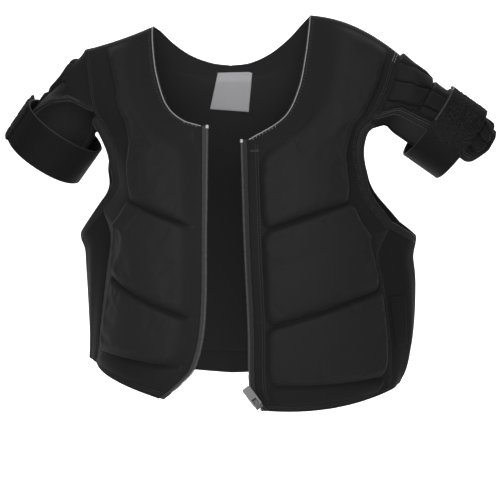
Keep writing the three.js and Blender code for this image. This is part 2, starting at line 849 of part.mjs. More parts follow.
// Slider: a channel round the chain's free edge, with a bridge on its face for the pull tab
const PLATE_TOP = CHAIN_HIGH + PLATE_CLEAR + PLATE;
function sliderGeometry() {
  const innerTop = CHAIN_HIGH + PLATE_CLEAR;
  const innerFoot = -PLATE_CLEAR;
  const foot = innerFoot - PLATE;
  const channel = solidOf(
    drawnProfile(
      [
        [SLIDER_FREE_SIDE, foot],
        [SLIDER_TAPE_SIDE, foot],
        [SLIDER_TAPE_SIDE, innerFoot],
        [SLIDER_WEB, innerFoot],
        [SLIDER_WEB, innerTop],
        [SLIDER_TAPE_SIDE, innerTop],
        [SLIDER_TAPE_SIDE, PLATE_TOP],
        [SLIDER_FREE_SIDE, PLATE_TOP],
      ],
      SLIDER_LENGTH,
    ),
  );
  const sunk = PLATE_TOP - PLATE / 2;
  const top = PLATE_TOP + BRIDGE_CLEAR;
  const bridgeShape = new THREE.Shape(
    [
      [-BRIDGE_HALF, sunk],
      [-BRIDGE_HALF + BRIDGE_POST, sunk],
      [-BRIDGE_HALF + BRIDGE_POST, top],
      [BRIDGE_HALF - BRIDGE_POST, top],
      [BRIDGE_HALF - BRIDGE_POST, sunk],
      [BRIDGE_HALF, sunk],
      [BRIDGE_HALF, top + BRIDGE_POST],
      [-BRIDGE_HALF, top + BRIDGE_POST],
    ].map(([y, z]) => new THREE.Vector2(y, z)),
  );
  const bridge = new THREE.ExtrudeGeometry(bridgeShape, { depth: BRIDGE_WIDTH, bevelEnabled: false });
  bridge.translate(0, 0, -BRIDGE_WIDTH / 2);
  bridge.rotateX(Math.PI / 2);
  bridge.rotateZ(Math.PI / 2);
  return geometryOf(channel.add(solidOf(bridge)));
}

// Pull tab: a plate with a window whose end bar turns under the bridge
function pullGeometry() {
  const half = PULL_WIDTH / 2;
  const tab = new THREE.Shape();
  tab.moveTo(-half, -PULL_BAR);
  tab.lineTo(half, -PULL_BAR);
  tab.lineTo(half, PULL_LENGTH - PULL_CORNER);
  tab.lineTo(half - PULL_CORNER, PULL_LENGTH);
  tab.lineTo(-half + PULL_CORNER, PULL_LENGTH);
  tab.lineTo(-half, PULL_LENGTH - PULL_CORNER);
  const opening = new THREE.Path();
  opening.moveTo(-PULL_WINDOW_HALF, PULL_BAR);
  opening.lineTo(-PULL_WINDOW_HALF, PULL_WINDOW_END);
  opening.lineTo(PULL_WINDOW_HALF, PULL_WINDOW_END);
  opening.lineTo(PULL_WINDOW_HALF, PULL_BAR);
  tab.holes.push(opening);
  const geometry = new THREE.ExtrudeGeometry(tab, { depth: PULL_THICK, bevelEnabled: false });
  geometry.translate(0, 0, -PULL_THICK / 2);
  return geometry;
}

// Slider's place: x towards the panel, y up the chain, z outwards
function sliderPlace() {
  const panel = FRONT.left;
  const reach = SEAM_GAP + TAPE_SHOW + SEAM_GAP + CHAIN_WIDTH / 2;
  const place = new THREE.Group();
  const origin = zipPoint(panel, SLIDER_SHARE, reach);
  const ahead = zipPoint(panel, SLIDER_SHARE + CHAIN_STEP, reach);
  const behind = zipPoint(panel, SLIDER_SHARE - CHAIN_STEP, reach);
  const upChain = ahead.sub(behind).normalize();
  const facing = outward(pointOn(panel.inner, SLIDER_SHARE));
  const across = new THREE.Vector3().crossVectors(upChain, facing).normalize();
  const out = new THREE.Vector3().crossVectors(across, upChain);
  place.quaternion.setFromRotationMatrix(new THREE.Matrix4().makeBasis(across, upChain, out));
  place.position.copy(origin);
  return place;
}

// Label on the inside of the back, below the neckline, with level rows
function neckLabelSheet() {
  const sheet = newSheet();
  const low = -NECK_LABEL.clear - NECK_LABEL.thick;
  const grid = NECK_LABEL.rows.map((up) =>
    [-1, 0, 1].map((half) => {
      const panel = half < 0 ? BACK.right : BACK.left;
      const level = up + Math.abs(half) * NECK_LABEL.level;
      const { point } = panelPoint(panel, Math.abs(half) * BACK_ACROSS[1], level, -1);
      if (half === 0) {
        point.copy(pointOn(SPINE, up));
      }
      return addPoint(sheet, point, outward(point), low, -NECK_LABEL.clear);
    }),
  );
  addCells(sheet, grid);
  return sheet;
}

// Small label sewn into the left side seam
function sideLabelSheet() {
  const sheet = newSheet();
  const grid = [];
  const seat = CLOTH + SEAM_GAP;
  const edges = [SIDE_LABEL.start, SIDE_LABEL.start + SIDE_LABEL.width];
  for (let row = 0; row <= SIDE_LABEL.steps; row += 1) {
    const share = row / SIDE_LABEL.steps;
    const up = SIDE_LABEL.from + (SIDE_LABEL.to - SIDE_LABEL.from) * share;
    const frontSeam = pointOn(FRONT.left.outer, up * UNDERARM);
    const depth = frontSeam.distanceTo(pointOn(BACK.left.outer, up * UNDERARM));
    const line = edges.map((reach) => {
      const point = sidePoint('left', reach / depth, up);
      return addPoint(sheet, point, outward(point), seat, seat + SIDE_LABEL.thick);
    });
    grid.push(line);
  }
  addCells(sheet, grid);
  return sheet;
}

addPiece('back_panel', wallOf(backSheet()), BLACK_JERSEY);
for (const name of ['left', 'right']) {
  const panel = FRONT[name];
  const chainStart = SEAM_GAP + TAPE_SHOW + SEAM_GAP;
  const chainEnd = chainStart + CHAIN_WIDTH;
  const tape = zipSheet(panel, 0, ZIP_TOP, SEAM_GAP, SEAM_GAP + TAPE_SHOW, TAPE_LOW, TAPE_HIGH);
  const chain = zipSheet(panel, ZIP_END[name], ZIP_TOP, chainStart, chainEnd, 0, CHAIN_HIGH);
  const endTop = ZIP_END[name] - SEAM_GAP / FRONT_LENGTH;
  const end = zipSheet(panel, 0, endTop, chainStart, chainStart + ZIP_END_WIDTH, 0, ZIP_END_HIGH);
  addPiece(`front_panel_${name}`, wallOf(frontSheet(panel)), BLACK_JERSEY);
  addPiece(`side_panel_${name}`, wallOf(sideSheet(name)), BLACK_STRETCH);
  addPiece(`armhole_band_${name}`, wallOf(bandSheet(name)), BLACK_JERSEY);
  addPiece(`arm_guard_${name}`, wallOf(guardSheet(name)), BLACK_JERSEY);
  addPiece(`arm_strap_${name}`, wallOf(strapSheet(name)), BLACK_WEBBING);
  addPiece(`strap_tab_${name}`, wallOf(tabSheet(name)), BLACK_WEBBING);
  addPiece(`zip_tape_${name}`, wallOf(tape), GREY_TAPE);
  addPiece(`zip_chain_${name}`, wallOf(chain), GREY_PLASTIC);
  addPiece(ZIP_END_NAME[name], wallOf(end), NICKEL);
}

const slider = sliderPlace();
group.add(slider);
addPiece('zip_slider', sliderGeometry(), NICKEL, slider);
const pivot = new THREE.Group();
pivot.position.set(0, 0, PLATE_TOP + BRIDGE_CLEAR / 2);
slider.add(pivot);
addPiece('zip_pull', pullGeometry(), NICKEL, pivot);

addPiece('neck_label', wallOf(neckLabelSheet()), PALE_LABEL);
addPiece('side_label', wallOf(sideLabelSheet()), BLACK_WEBBING);

export default group;
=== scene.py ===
# %% [markdown]
# A padded ski vest stands open at its zip, with ribbed guards on the upper arms. The solids of the vest are
# already made and packed, at their real size. This lesson dresses them: each soft solid is replaced by a
# finer mesh of the same piece, with cushions, seams, threads and cloth, and the small metal ones keep their
# shape. Lengths are written in millimetres and multiplied by MM, because the frame is in metres.

# %% Load the frame
import math

import bmesh
import bpy
import numpy as np
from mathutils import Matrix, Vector


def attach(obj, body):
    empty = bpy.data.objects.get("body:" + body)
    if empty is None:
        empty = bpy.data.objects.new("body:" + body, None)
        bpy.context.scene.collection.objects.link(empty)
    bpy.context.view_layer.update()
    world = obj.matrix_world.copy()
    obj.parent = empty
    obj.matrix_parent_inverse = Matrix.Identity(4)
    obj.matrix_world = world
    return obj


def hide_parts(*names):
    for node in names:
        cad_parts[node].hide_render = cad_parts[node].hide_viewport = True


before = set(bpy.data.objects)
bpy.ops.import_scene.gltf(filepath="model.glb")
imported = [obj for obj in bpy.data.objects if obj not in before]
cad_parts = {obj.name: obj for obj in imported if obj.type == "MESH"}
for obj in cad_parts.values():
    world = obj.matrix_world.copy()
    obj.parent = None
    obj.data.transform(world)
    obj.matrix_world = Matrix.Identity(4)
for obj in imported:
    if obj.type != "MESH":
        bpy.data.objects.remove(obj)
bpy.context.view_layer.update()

MM = 0.001
BODY = "vest"

# %% [markdown]
# The camera comes first, so that every later look is through the photograph's frame. The vest is seen
# straight on from a little above. A long lens keeps the shoulders and the hem in the same scale. The aim
# and the distance are real sizes, and the lens follows from them.

# %% Camera
CAMERA_AIM = (24, 0, -252)
CAMERA_DISTANCE = 1300
CAMERA_ELEVATION = 5
FRAME_WIDTH = 600
SENSOR = 36


def link(name, data):
    """New object in the scene for a camera, a lamp or a mesh."""
    made = bpy.data.objects.new(name, data)
    bpy.context.scene.collection.objects.link(made)
    return made


def add_camera():
    data = bpy.data.cameras.new("camera")
    data.sensor_width = SENSOR
    data.lens = SENSOR * CAMERA_DISTANCE / FRAME_WIDTH
    camera = link("camera", data)
    tilt = math.radians(CAMERA_ELEVATION)
    back = Vector((0, -math.cos(tilt), math.sin(tilt)))
    camera.location = (Vector(CAMERA_AIM) + back * CAMERA_DISTANCE) * MM
    camera.rotation_euler = (math.pi / 2 - tilt, 0, 0)
    bpy.context.scene.camera = camera
    return camera


print("lens", round(add_camera().data.lens, 1), "mm")

# %% [markdown]
# Black cloth shows its shape only through soft, broad light. The near lamp stands before the chest, so the
# upper cushions are the brightest cloth, and the hem, the shoulders and the sides fall off. A lamp farther
# off and above draws the upper edges of the cushions. A third is aimed at the pale sweep of paper
# behind. A film curve would lift the blacks, so the colours are shown without one: black stays black and
# the paper stays white.

# %% Stage and light
FLOOR_LEVEL = -640
SWEEP_BACK = 2400
SWEEP_FRONT = -2600
SWEEP_HALF = 3600
SWEEP_TOP = 2600
SWEEP_BEND = 900
SWEEP_STEPS = 13
PAPER_COLOUR, PAPER_ROUGHNESS = (0.86, 0.86, 0.86, 1), 0.9
# columns: name, place, aim, size, power in watts
LAMPS = [
    ("lamp_top", (60, -350, 1000), (20, 0, -80), 700, 6),
    ("lamp_front", (-20, -800, -130), (20, 0, -190), 500, 6),
    ("lamp_back", (0, 250, 1000), (0, 2400, 700), 1600, 110),
]
WORLD_LIGHT = 0.27


def add_lamp(name, place, aim, size, power):
    data = bpy.data.lights.new(name, "AREA")
    data.size = size * MM
    data.energy = power
    lamp = link(name, data)
    lamp.location = Vector(place) * MM
    lamp.rotation_euler = (Vector(aim) - Vector(place)).to_track_quat("-Z", "Y").to_euler()
    return lamp


def add_sweep():
    profile = [(SWEEP_FRONT, FLOOR_LEVEL)]
    for angle in np.linspace(0, math.pi / 2, SWEEP_STEPS):
        y = SWEEP_BACK - SWEEP_BEND + SWEEP_BEND * math.sin(angle)
        profile.append((y, FLOOR_LEVEL + SWEEP_BEND - SWEEP_BEND * math.cos(angle)))
    profile.append((SWEEP_BACK, SWEEP_TOP))
    points = [(x * MM, y * MM, z * MM) for y, z in profile for x in (-SWEEP_HALF, SWEEP_HALF)]
    faces = [(2 * i, 2 * i + 1, 2 * i + 3, 2 * i + 2) for i in range(len(profile) - 1)]
    mesh = bpy.data.meshes.new("sweep")
    mesh.from_pydata(points, [], faces)
    mesh.shade_smooth()
    sweep = link("sweep", mesh)
    paper = bpy.data.materials.new("pale_paper")
    paper.use_nodes = True
    shader = paper.node_tree.nodes["Principled BSDF"]
    shader.inputs["Base Color"].default_value = PAPER_COLOUR
    shader.inputs["Roughness"].default_value = PAPER_ROUGHNESS
    mesh.materials.append(paper)


def light_world():
    world = bpy.data.worlds.new("studio")
    world.use_nodes = True
    world.node_tree.nodes["Background"].inputs["Color"].default_value = (1, 1, 1, 1)
    world.node_tree.nodes["Background"].inputs["Strength"].default_value = WORLD_LIGHT
    bpy.context.scene.world = world
    bpy.context.scene.view_settings.view_transform = "Standard"


add_sweep()
light_world()
lamps = [add_lamp(*row) for row in LAMPS]
print("lamps:", [lamp.name for lamp in lamps])

# %% [markdown]
# The cut of the vest is a set of edges, each a short table from hem to shoulder. A smooth curve runs
# through the rows, and a row that is given twice makes a corner, as at the zip's top and under the arm.
# They are the same tables that the solids were made from, so the cloth lies where the solids are.

# %% The cut of the vest
PAD_FOOT, LOWER_GROOVE, UPPER_GROOVE = 0.06, 0.22, 0.46
UNDERARM, ZIP_TOP, ARM_CORNER, REAR_CORNER, NECK_CENTRE, PAD_TOP = 0.37, 0.66, 0.8, 0.745, 0.8, 0.97
# edge columns: share of the way up, x, y, z
# bow columns: share of the way up, bulge outwards at mid width, rise at mid width
# pad columns: share of the way up, plain cloth between cushion and outer edge
FRONT = {
    "left": {
        "side": 1,
        "inner": [
            (0, 46, -66, -432), (0.03, 34, -69, -416), (0.06, 30, -73, -401), (0.22, 29, -81, -337),
            (0.46, 24, -86, -229), (0.66, 21, -62, -122), (0.66, 21, -62, -122), (0.74, 62, -52, -96),
            (0.81, 79, -44, -64), (0.87, 87, -33, -29), (0.93, 92, -18, 3), (0.97, 94, -6, 19),
            (1, 95, 4.8, 23),
        ],
        "outer": [
            (0, 189, -27, -416), (0.06, 190, -28, -397), (0.12, 188, -32, -356), (0.22, 179, -36, -292),
            (0.31, 172, -38, -252), (0.37, 185, -30, -224), (0.37, 185, -30, -224), (0.46, 157, -39, -187),
            (0.56, 148, -43, -155), (0.66, 145, -45, -130), (0.74, 151, -46, -108), (0.8, 164, -45, -95),
            (0.87, 180, -38, -66), (0.93, 190, -24, -39), (0.97, 197, -9, -26), (1, 199, 4.8, -21.5),
        ],
        "bow": [
            (0, 12, -6), (0.06, 16, -3), (0.22, 22, 2), (0.46, 22, 4), (0.66, 17, 0), (0.8, 8, 3), (1, 0, 10),
        ],
        "pad": [(0, 11), (0.3, 11), (0.37, 34), (0.46, 27), (0.6, 18), (0.7, 12), (1, 15)],
    },
    "right": {
        "side": -1,
        "inner": [
            (0, -74, -141, -400), (0.03, -56, -145, -384), (0.06, -41, -147, -367), (0.22, -30, -145, -317),
            (0.46, -28, -137, -219), (0.66, -29, -99, -107), (0.66, -29, -99, -107), (0.74, -52, -86, -99),
            (0.81, -70, -71, -81), (0.87, -82, -49, -47), (0.93, -88, -24, -15), (0.97, -90, -8, 5),
            (1, -90, 4.8, 10.5),
        ],
        "outer": [
            (0, -154, -44, -379), (0.06, -151, -46, -362), (0.12, -147, -48, -328), (0.22, -139, -50, -266),
            (0.31, -135, -50, -229), (0.37, -144, -42, -202), (0.37, -144, -42, -202),
            (0.46, -126, -50, -176), (0.56, -127, -52, -152), (0.66, -130, -54, -132),
            (0.74, -140, -53, -109), (0.8, -154, -48, -87),
            (0.87, -160, -38, -64), (0.93, -165, -23, -38), (0.97, -169, -8, -21.5), (1, -171, 4.8, -17),
        ],
        "bow": [
            (0, 18, 3), (0.06, 22, 2), (0.22, 26, 1), (0.46, 24, 2), (0.66, 18, 0), (0.8, 8, 0), (1, 0, -2),
        ],
        "pad": [(0, 9), (0.22, 22), (0.3, 19), (0.37, 42), (0.46, 42), (0.6, 30), (0.8, 35), (1, 24)],
    },
}
SPINE = [
    (0, 0, 78, -416), (0.1, 0, 83, -372), (0.3, 0, 90, -288), (0.5, 0, 94, -200), (0.66, 0, 86, -120),
    (0.8, 0, 57, -29), (0.8, 0, 57, -29),
]
BACK = {
    "left": {
        "side": 1,
        "inner": [
            *SPINE, (0.85, 25, 54, -26), (0.9, 50, 46, -15.5), (0.94, 72, 31, 0.5), (0.97, 87, 17, 15.5),
            (1, 95, 5.2, 23),
        ],
        "outer": [
            (0, 200, 38, -396), (0.06, 200, 40, -380), (0.22, 203, 45, -295), (0.37, 204, 42, -229),
            (0.37, 204, 42, -229), (0.46, 170, 49, -188), (0.56, 159, 53, -157), (0.66, 156, 53, -130),
            (0.74, 161, 51, -107), (0.8, 172, 47, -90), (0.87, 186, 40, -62), (0.93, 193, 28, -40),
            (0.97, 198, 16, -26), (1, 199, 5.2, -21.5),
        ],
        "bow": [(0, 14, -4), (0.3, 14, 0), (0.66, 16, 0), (0.8, 8, 2), (0.9, 3, 4), (1, 0, 10)],
    },
    "right": {
        "side": -1,
        "inner": [
            *SPINE, (0.85, -25, 54, -26), (0.9, -50, 46, -17.5), (0.94, -70, 31, -5), (0.97, -83, 17, 6.5),
            (1, -90, 5.2, 10.5),
        ],
        "outer": [
            (0, -158, 36, -390), (0.06, -158, 38, -374), (0.22, -161, 44, -288), (0.37, -162, 40, -216),
            (0.37, -162, 40, -216), (0.46, -143, 50, -185), (0.56, -142, 53, -157), (0.66, -141, 54, -131),
            (0.74, -147, 52, -109), (0.8, -156, 47, -87), (0.87, -162, 40, -61), (0.93, -166, 28, -38),
            (0.97, -169, 16, -21.5), (1, -171, 5.2, -17),
        ],
        "bow": [(0, 14, -4), (0.3, 14, 0), (0.66, 14, 0), (0.8, 8, 0), (0.9, 3, -4), (1, 0, -2)],
    },
}

edges = [panel[edge] for cut in (FRONT, BACK) for panel in cut.values() for edge in ("inner", "outer")]
print("rows in the cut:", sum(map(len, edges)))

# %% [markdown]
# A few small functions turn the tables into shapes. Three of them bend a share between 0 and 1, and one
# gives the values of a table at any place between its rows. A curve object could hold an edge too, but a
# function can be asked for any point at once.

# %% Curves through the rows
def smooth(t):
    s = np.clip(t, 0, 1)
    return s * s * (3 - 2 * s)


def rounded(t):
    """A quarter round: steep where a pad starts, level on its top."""
    s = 1 - np.clip(t, 0, 1)
    return np.sqrt(1 - s * s)


def arch(t):
    """Nothing at both ends and one half way."""
    return 4 * t * (1 - t)


def follow(rows, at):
    """Values of a table at stations, on smooth curves through its rows."""
    table = np.array(rows, float)
    stations, values = table[:, 0], table[:, 1:]
    at = np.clip(np.asarray(at, float), stations[0], stations[-1])
    here = np.arange(len(table))
    low, high = np.maximum(here - 1, 0), np.minimum(here + 1, len(table) - 1)
    low = np.where(stations[low] < stations, low, here)
    high = np.where(stations[high] > stations, high, here)
    slopes = (values[high] - values[low]) / (stations[high] - stations[low])[:, None]
    i = np.clip(np.searchsorted(stations, at, side="left") - 1, 0, len(table) - 2)
    step = (stations[i + 1] - stations[i])[..., None]
    t = (at - stations[i])[..., None] / step
    a, rise = values[i], values[i + 1] - values[i]
    start, end = slopes[i] * step, slopes[i + 1] * step
    return a + t * (start + t * ((3 * rise - 2 * start - end) + t * (start + end - 2 * rise)))


def unit(v):
    return v / np.maximum(np.linalg.norm(v, axis=-1, keepdims=True), 1e-9)


edge = follow(FRONT["left"]["outer"], np.linspace(0, 1, 50))
print("outer edge of the left front", round(np.linalg.norm(np.diff(edge, axis=0), axis=1).sum()), "mm")

# %% [markdown]
# Cloth needs to know which way is out. Round the trunk that is away from the body's middle line, and on the
# shoulders it turns upwards. One smooth field of directions does this for all panels, so that neighbours
# meet without a step.

# %% Which way is out
TORSO_HALF_WIDTH, TORSO_HALF_DEPTH, SHOULDER_HALF_DEPTH = 200, 90, 48
SHOULDER_FOOT, SHOULDER_HEIGHT, CHEST_TOP, SHOULDER_MIDDLE = -75, 85, -200, 5
SHOULDER_TURN = 0.8


def outward(p):
    narrow = smooth((p[..., 2] - CHEST_TOP) / (SHOULDER_FOOT - CHEST_TOP))
    depth = TORSO_HALF_DEPTH + (SHOULDER_HALF_DEPTH - TORSO_HALF_DEPTH) * narrow
    height = p[..., 2] - SHOULDER_FOOT
    level = 1 - SHOULDER_TURN * smooth(height / SHOULDER_HEIGHT)
    x = p[..., 0] / TORSO_HALF_WIDTH**2 * level
    y = (p[..., 1] - SHOULDER_MIDDLE) / depth**2
    return unit(np.stack([x, y, np.maximum(0, height) / SHOULDER_HEIGHT**2], -1))


def panel_skin(panel, across, up, bulge_sign):
    """Inner skin of a panel at given shares across and up, which broadcast together."""
    across, up = np.broadcast_arrays(np.asarray(across, float), np.asarray(up, float))
    inner, outer = follow(panel["inner"], up), follow(panel["outer"], up)
    chord = unit((outer - inner) * (1, 1, 0))
    bulge, rise = np.moveaxis(follow(panel["bow"], up), -1, 0)
    sign = bulge_sign * panel["side"]
    bowed = np.stack([bulge * chord[..., 1] * sign, -bulge * chord[..., 0] * sign, rise], -1)
    return inner + (outer - inner) * across[..., None] + bowed * arch(across)[..., None]


def lengths(skin, axis):
    """Distance along the cloth from the first row or column."""
    steps = np.linalg.norm(np.diff(skin, axis=axis), axis=-1)
    return np.insert(np.cumsum(steps, axis=axis), 0, 0, axis=axis)


sample = panel_skin(FRONT["left"], np.linspace(0, 1, 9)[None], np.linspace(0, 1, 9)[:, None], 1)
print("front width at the chest", round(lengths(sample, 1)[3, -1]), "mm")

# %% [markdown]
# Every cloth piece here is a wall with an inner and an outer skin, closed by a round rim. A Solidify
# modifier could thicken a single sheet, but pads need a thickness that changes from point to point. So one
# helper takes grids of points, the way each one faces, and the distances of the two skins, and builds the
# closed wall. Its UV map is the cloth's own length in metres, so a weave keeps its scale. A number on each
# point says how free the cloth is there, for the simulation later.

# %% Cloth walls
RIM_SWELL = 0.42
OUTSIDE, INSIDE, TRIM = 0, 1, 2


def patch(skin, facing, low, high, free=0, trim=0, border="around"):
    """One grid of a wall: distances of its skins in mm, its free share, and where it has a trim."""
    shape = skin.shape[:2]
    spread = [np.broadcast_to(np.asarray(v, float), shape) for v in (low, high, free, trim)]
    return {"skin": skin, "facing": facing, "border": border, "values": spread}


def border_of(rows, columns, border):
    """Loops of grid places round a patch, each with its way of closing."""
    left, right = [(r, 0) for r in range(rows)], [(r, columns - 1) for r in range(rows)]
    if border == "ring":
        return [left, right]
    path = left + [(rows - 1, c) for c in range(1, columns)]
    path += right[-2::-1] + [(0, c) for c in range(columns - 2, -1, -1)]
    if border == "around":
        return [path]
    return [path[border:]]


def rim_points(inner, outer, loop, border):
    """Points of the round rim, pushed out beyond the edge; a seam's ends stay on the seam."""
    rows, columns = inner.shape[:2]
    r, c = np.array(loop).T
    towards_r = r if border == "ring" else np.clip(r, 1, rows - 2)
    towards_c = np.clip(c, 1, columns - 2)
    if border not in ("ring", "around"):
        towards_c[[0, -1]] = c[[0, -1]]
    middle = (inner + outer) / 2
    away = unit(middle[r, c] - middle[towards_r, towards_c])
    thick = np.linalg.norm(outer[r, c] - inner[r, c], axis=-1, keepdims=True)
    return middle[r, c] + away * thick * RIM_SWELL


def patch_mesh(grid):
    """Points, faces, lengths, free shares and material places of one patch."""
    skin, facing, border = grid["skin"], grid["facing"], grid["border"]
    low, high, free, trim = grid["values"]
    rows, columns = skin.shape[:2]
    count = rows * columns
    inner, outer = skin + facing * low[..., None], skin + facing * high[..., None]
    along = np.stack([lengths(skin, 1), lengths(skin, 0)], -1).reshape(-1, 2) * MM
    number = np.arange(count).reshape(rows, columns)
    cells = np.stack([number[:-1, :-1], number[:-1, 1:], number[1:, 1:], number[1:, :-1]], -1).reshape(-1, 4)
    points, uvs = [outer.reshape(-1, 3), inner.reshape(-1, 3)], [along, along]
    faces = [cells, cells[:, ::-1] + count]
    trim = trim.reshape(-1)
    slots = [np.where(trim[cells].mean(axis=1) > 0.5, TRIM, OUTSIDE), np.full(len(cells), INSIDE)]
    total = 2 * count
    for loop in border_of(rows, columns, border):
        at = np.array([number[r, c] for r, c in loop])
        middle = total + np.arange(len(loop))
        total += len(loop)
        points.append(rim_points(inner, outer, loop, border))
        uvs.append(along[at])
        for first, second in ((at, middle), (middle, at + count)):
            faces.append(np.stack([first[:-1], first[1:], second[1:], second[:-1]], -1))
            slots.append(np.where(trim[at[:-1]] > 0.5, TRIM, OUTSIDE))
    shares = np.concatenate([free.reshape(-1), np.zeros(total - count)])
    return [np.concatenate(part) for part in (points, faces, uvs)] + [shares, np.concatenate(slots)]


print("patches: rim swell", RIM_SWELL, "of the thickness")

# %% [markdown]
# The patches of a wall become one mesh. Where two of them meet at a seam their points are merged, so that
# the wall is closed and its faces can be turned outwards.

# %% Walls from patches
WELD_WITHIN = 0.005


def cloth_wall(name, *grids):
    """Mesh object of a closed wall made of one patch or of several that meet at seams."""
    parts = [patch_mesh(grid) for grid in grids]
    starts = np.cumsum([0] + [len(part[0]) for part in parts])
    points, uvs, shares, slots = (np.concatenate([part[i] for part in parts]) for i in (0, 2, 3, 4))
    faces = np.concatenate([part[1] + start for part, start in zip(parts, starts)])
    mesh = bpy.data.meshes.new(name)
    mesh.from_pydata((points * MM).tolist(), [], faces.tolist())
    corners = np.zeros(len(mesh.loops), np.int32)
    mesh.loops.foreach_get("vertex_index", corners)
    mesh.uv_layers.new(name="cloth").data.foreach_set("uv", uvs[corners].astype(np.float32).ravel())
    mesh.attributes.new("free", "FLOAT", "POINT").data.foreach_set("value", shares.astype(np.float32))
    mesh.polygons.foreach_set("material_index", slots.astype(np.int32))
    work = bmesh.new()
    work.from_mesh(mesh)
    bmesh.ops.remove_doubles(work, verts=work.verts, dist=WELD_WITHIN * MM)
    bmesh.ops.recalc_face_normals(work, faces=work.faces)
    work.to_mesh(mesh)
    work.free()
    mesh.shade_smooth()
    return link(name, mesh)


print("walls: points merge within", WELD_WITHIN, "mm")

# %% [markdown]
# Materials and geometry trees are both built from nodes, and the script makes every node itself. Doing that
# by hand takes three lines for a node and one for each link. So a few helpers make a node, set its values
# and link it in one call, and make an empty tree with named sockets.

# %% Node helpers
def wire(tree, node, inputs):
    """Sets a node's inputs: another node's output is linked, and anything else is a value."""
    for socket, value in inputs.items():
        if isinstance(value, bpy.types.NodeSocket):
            tree.links.new(value, node.inputs[socket])
        else:
            node.inputs[socket].default_value = value


def add_node(tree, kind, inputs=None, **settings):
    """New node with its settings, and then its inputs."""
    node = tree.nodes.new(kind)
    for key, value in settings.items():
        setattr(node, key, value)
    wire(tree, node, inputs or {})
    return node


def new_tree(kind, name, inputs, outputs):
    """Empty tree with sockets given as names and types, the outputs of its entry node, and its exit node."""
    tree = bpy.data.node_groups.new(name, kind)
    for way, sockets in (("INPUT", inputs), ("OUTPUT", outputs)):
        for socket, value in sockets.items():
            tree.interface.new_socket(socket, in_out=way, socket_type=f"NodeSocket{value}")
    return tree, tree.nodes.new("NodeGroupInput").outputs, tree.nodes.new("NodeGroupOutput")


def calc(tree, operation, first, second):
    return add_node(tree, "ShaderNodeMath", {0: first, 1: second}, operation=operation).outputs[0]


def weighted(tree, *terms):
    """Sum of two values, each given with its weight."""
    return calc(tree, "ADD", *(calc(tree, "MULTIPLY", value, weight) for value, weight in terms))


def scaled(tree, vector, factor):
    inputs = {0: vector, "Scale": factor}
    return add_node(tree, "ShaderNodeVectorMath", inputs, operation="SCALE").outputs["Vector"]


print("node helpers for Blender", bpy.app.version_string)

# %% [markdown]
# Four finishes carry the vest: a knitted cover, a thin stretch cloth, woven bands and a looped pile. They
# differ in scale and relief but share two effects. The first is the relief of crossing threads, from the UV
# map. The second is the slow change of tone that every dark cloth has from light, dust and handling. Each
# effect is a node group, and each finish places it with its own values.

# %% Shared effects
# columns: scale and detail of the noise
TONE_SLOW, TONE_FINE = (14, 3), (900, 2)
SLOW_SHARE = 0.6
CLOTH_SWING = 0.25


def object_noise(tree, scale, detail):
    place = add_node(tree, "ShaderNodeTexCoord").outputs["Object"]
    inputs = {"Vector": place, "Scale": scale, "Detail": detail}
    return add_node(tree, "ShaderNodeTexNoise", inputs).outputs[0]


def two_tones(tree, share, deep, pale):
    inputs = {"Factor": share, "A": deep, "B": pale}
    return add_node(tree, "ShaderNodeMix", inputs, data_type="RGBA").outputs["Result"]


def swing(tree, share, middle, reach):
    """A value that swings about its middle as a share goes from 0 to 1."""
    return calc(tree, "ADD", calc(tree, "MULTIPLY", calc(tree, "SUBTRACT", share, 0.5), reach), middle)


def thread_relief_group():
    """Height of crossing threads: rows across and columns along the cloth, with every second row shifted."""
    counts = {"Threads Across": "Float", "Threads Along": "Float", "Shift": "Float"}
    group, given, out = new_tree("ShaderNodeTree", "thread_relief", counts, {"Height": "Float"})
    uv = add_node(group, "ShaderNodeUVMap", uv_map="cloth").outputs["UV"]
    place = add_node(group, "ShaderNodeSeparateXYZ", {0: uv}).outputs
    u = calc(group, "MULTIPLY", place["X"], given["Threads Across"])
    v = calc(group, "MULTIPLY", place["Y"], given["Threads Along"])
    lean = calc(group, "MULTIPLY", calc(group, "PINGPONG", v, 1), given["Shift"])
    across = calc(group, "PINGPONG", calc(group, "ADD", u, lean), 0.5)
    along = calc(group, "PINGPONG", v, 0.5)
    wire(group, out, {"Height": calc(group, "ADD", across, along)})
    return group


def tone_group():
    """Two depths of a colour mixed by slow and fine noise, a roughness, and the fine noise as fuzz."""
    tones = {"Deep": "Color", "Pale": "Color", "Roughness": "Float"}
    results = {"Color": "Color", "Roughness": "Float", "Fuzz": "Float"}
    group, given, out = new_tree("ShaderNodeTree", "cloth_tone", tones, results)
    slow, fine = object_noise(group, *TONE_SLOW), object_noise(group, *TONE_FINE)
    share = weighted(group, (slow, SLOW_SHARE), (fine, 1 - SLOW_SHARE))
    wire(group, out, {
        "Color": two_tones(group, share, given["Deep"], given["Pale"]),
        "Roughness": swing(group, share, given["Roughness"], CLOTH_SWING),
        "Fuzz": fine,
    })
    return group


THREAD_RELIEF, CLOTH_TONE = thread_relief_group(), tone_group()
print("groups:", THREAD_RELIEF.name, CLOTH_TONE.name)

# %% [markdown]
# A finish is then a short row of a table: two tones, roughness, sheen, the number of threads in a metre
# each way, the lean between rows, and how deep the threads and the fuzz are. Sheen is the soft glow that
# fine fibres give black cloth at a glancing angle, and it is set on the shader itself. Shade is painted into
# the cover's colour where it is sewn down, so its grooves and margins are painted darker. The number that
# says how free the cloth is drives this painted shade. The guards' jersey is the cover's jersey painted
# darker, as painted shade. The two guards have linings of different tones: the left one is painted lighter
# where its inside lies in shadow. The two halves of the zip are one tape in two tones of painted light and
# shade. So each has a row of its own.

# %% Cloth finishes
# painted shade: the cover's colour sinks to this share where it is sewn, in its grooves and margins
SEWN_PAINTED_SHADE = {"cover_jersey": 0.6}
BLUE_CAST = 1.03
CLOTH_BUMP, SHEEN_ROUGHNESS, CLOTH_SPECULAR = 0.6, 0.45, 0.18
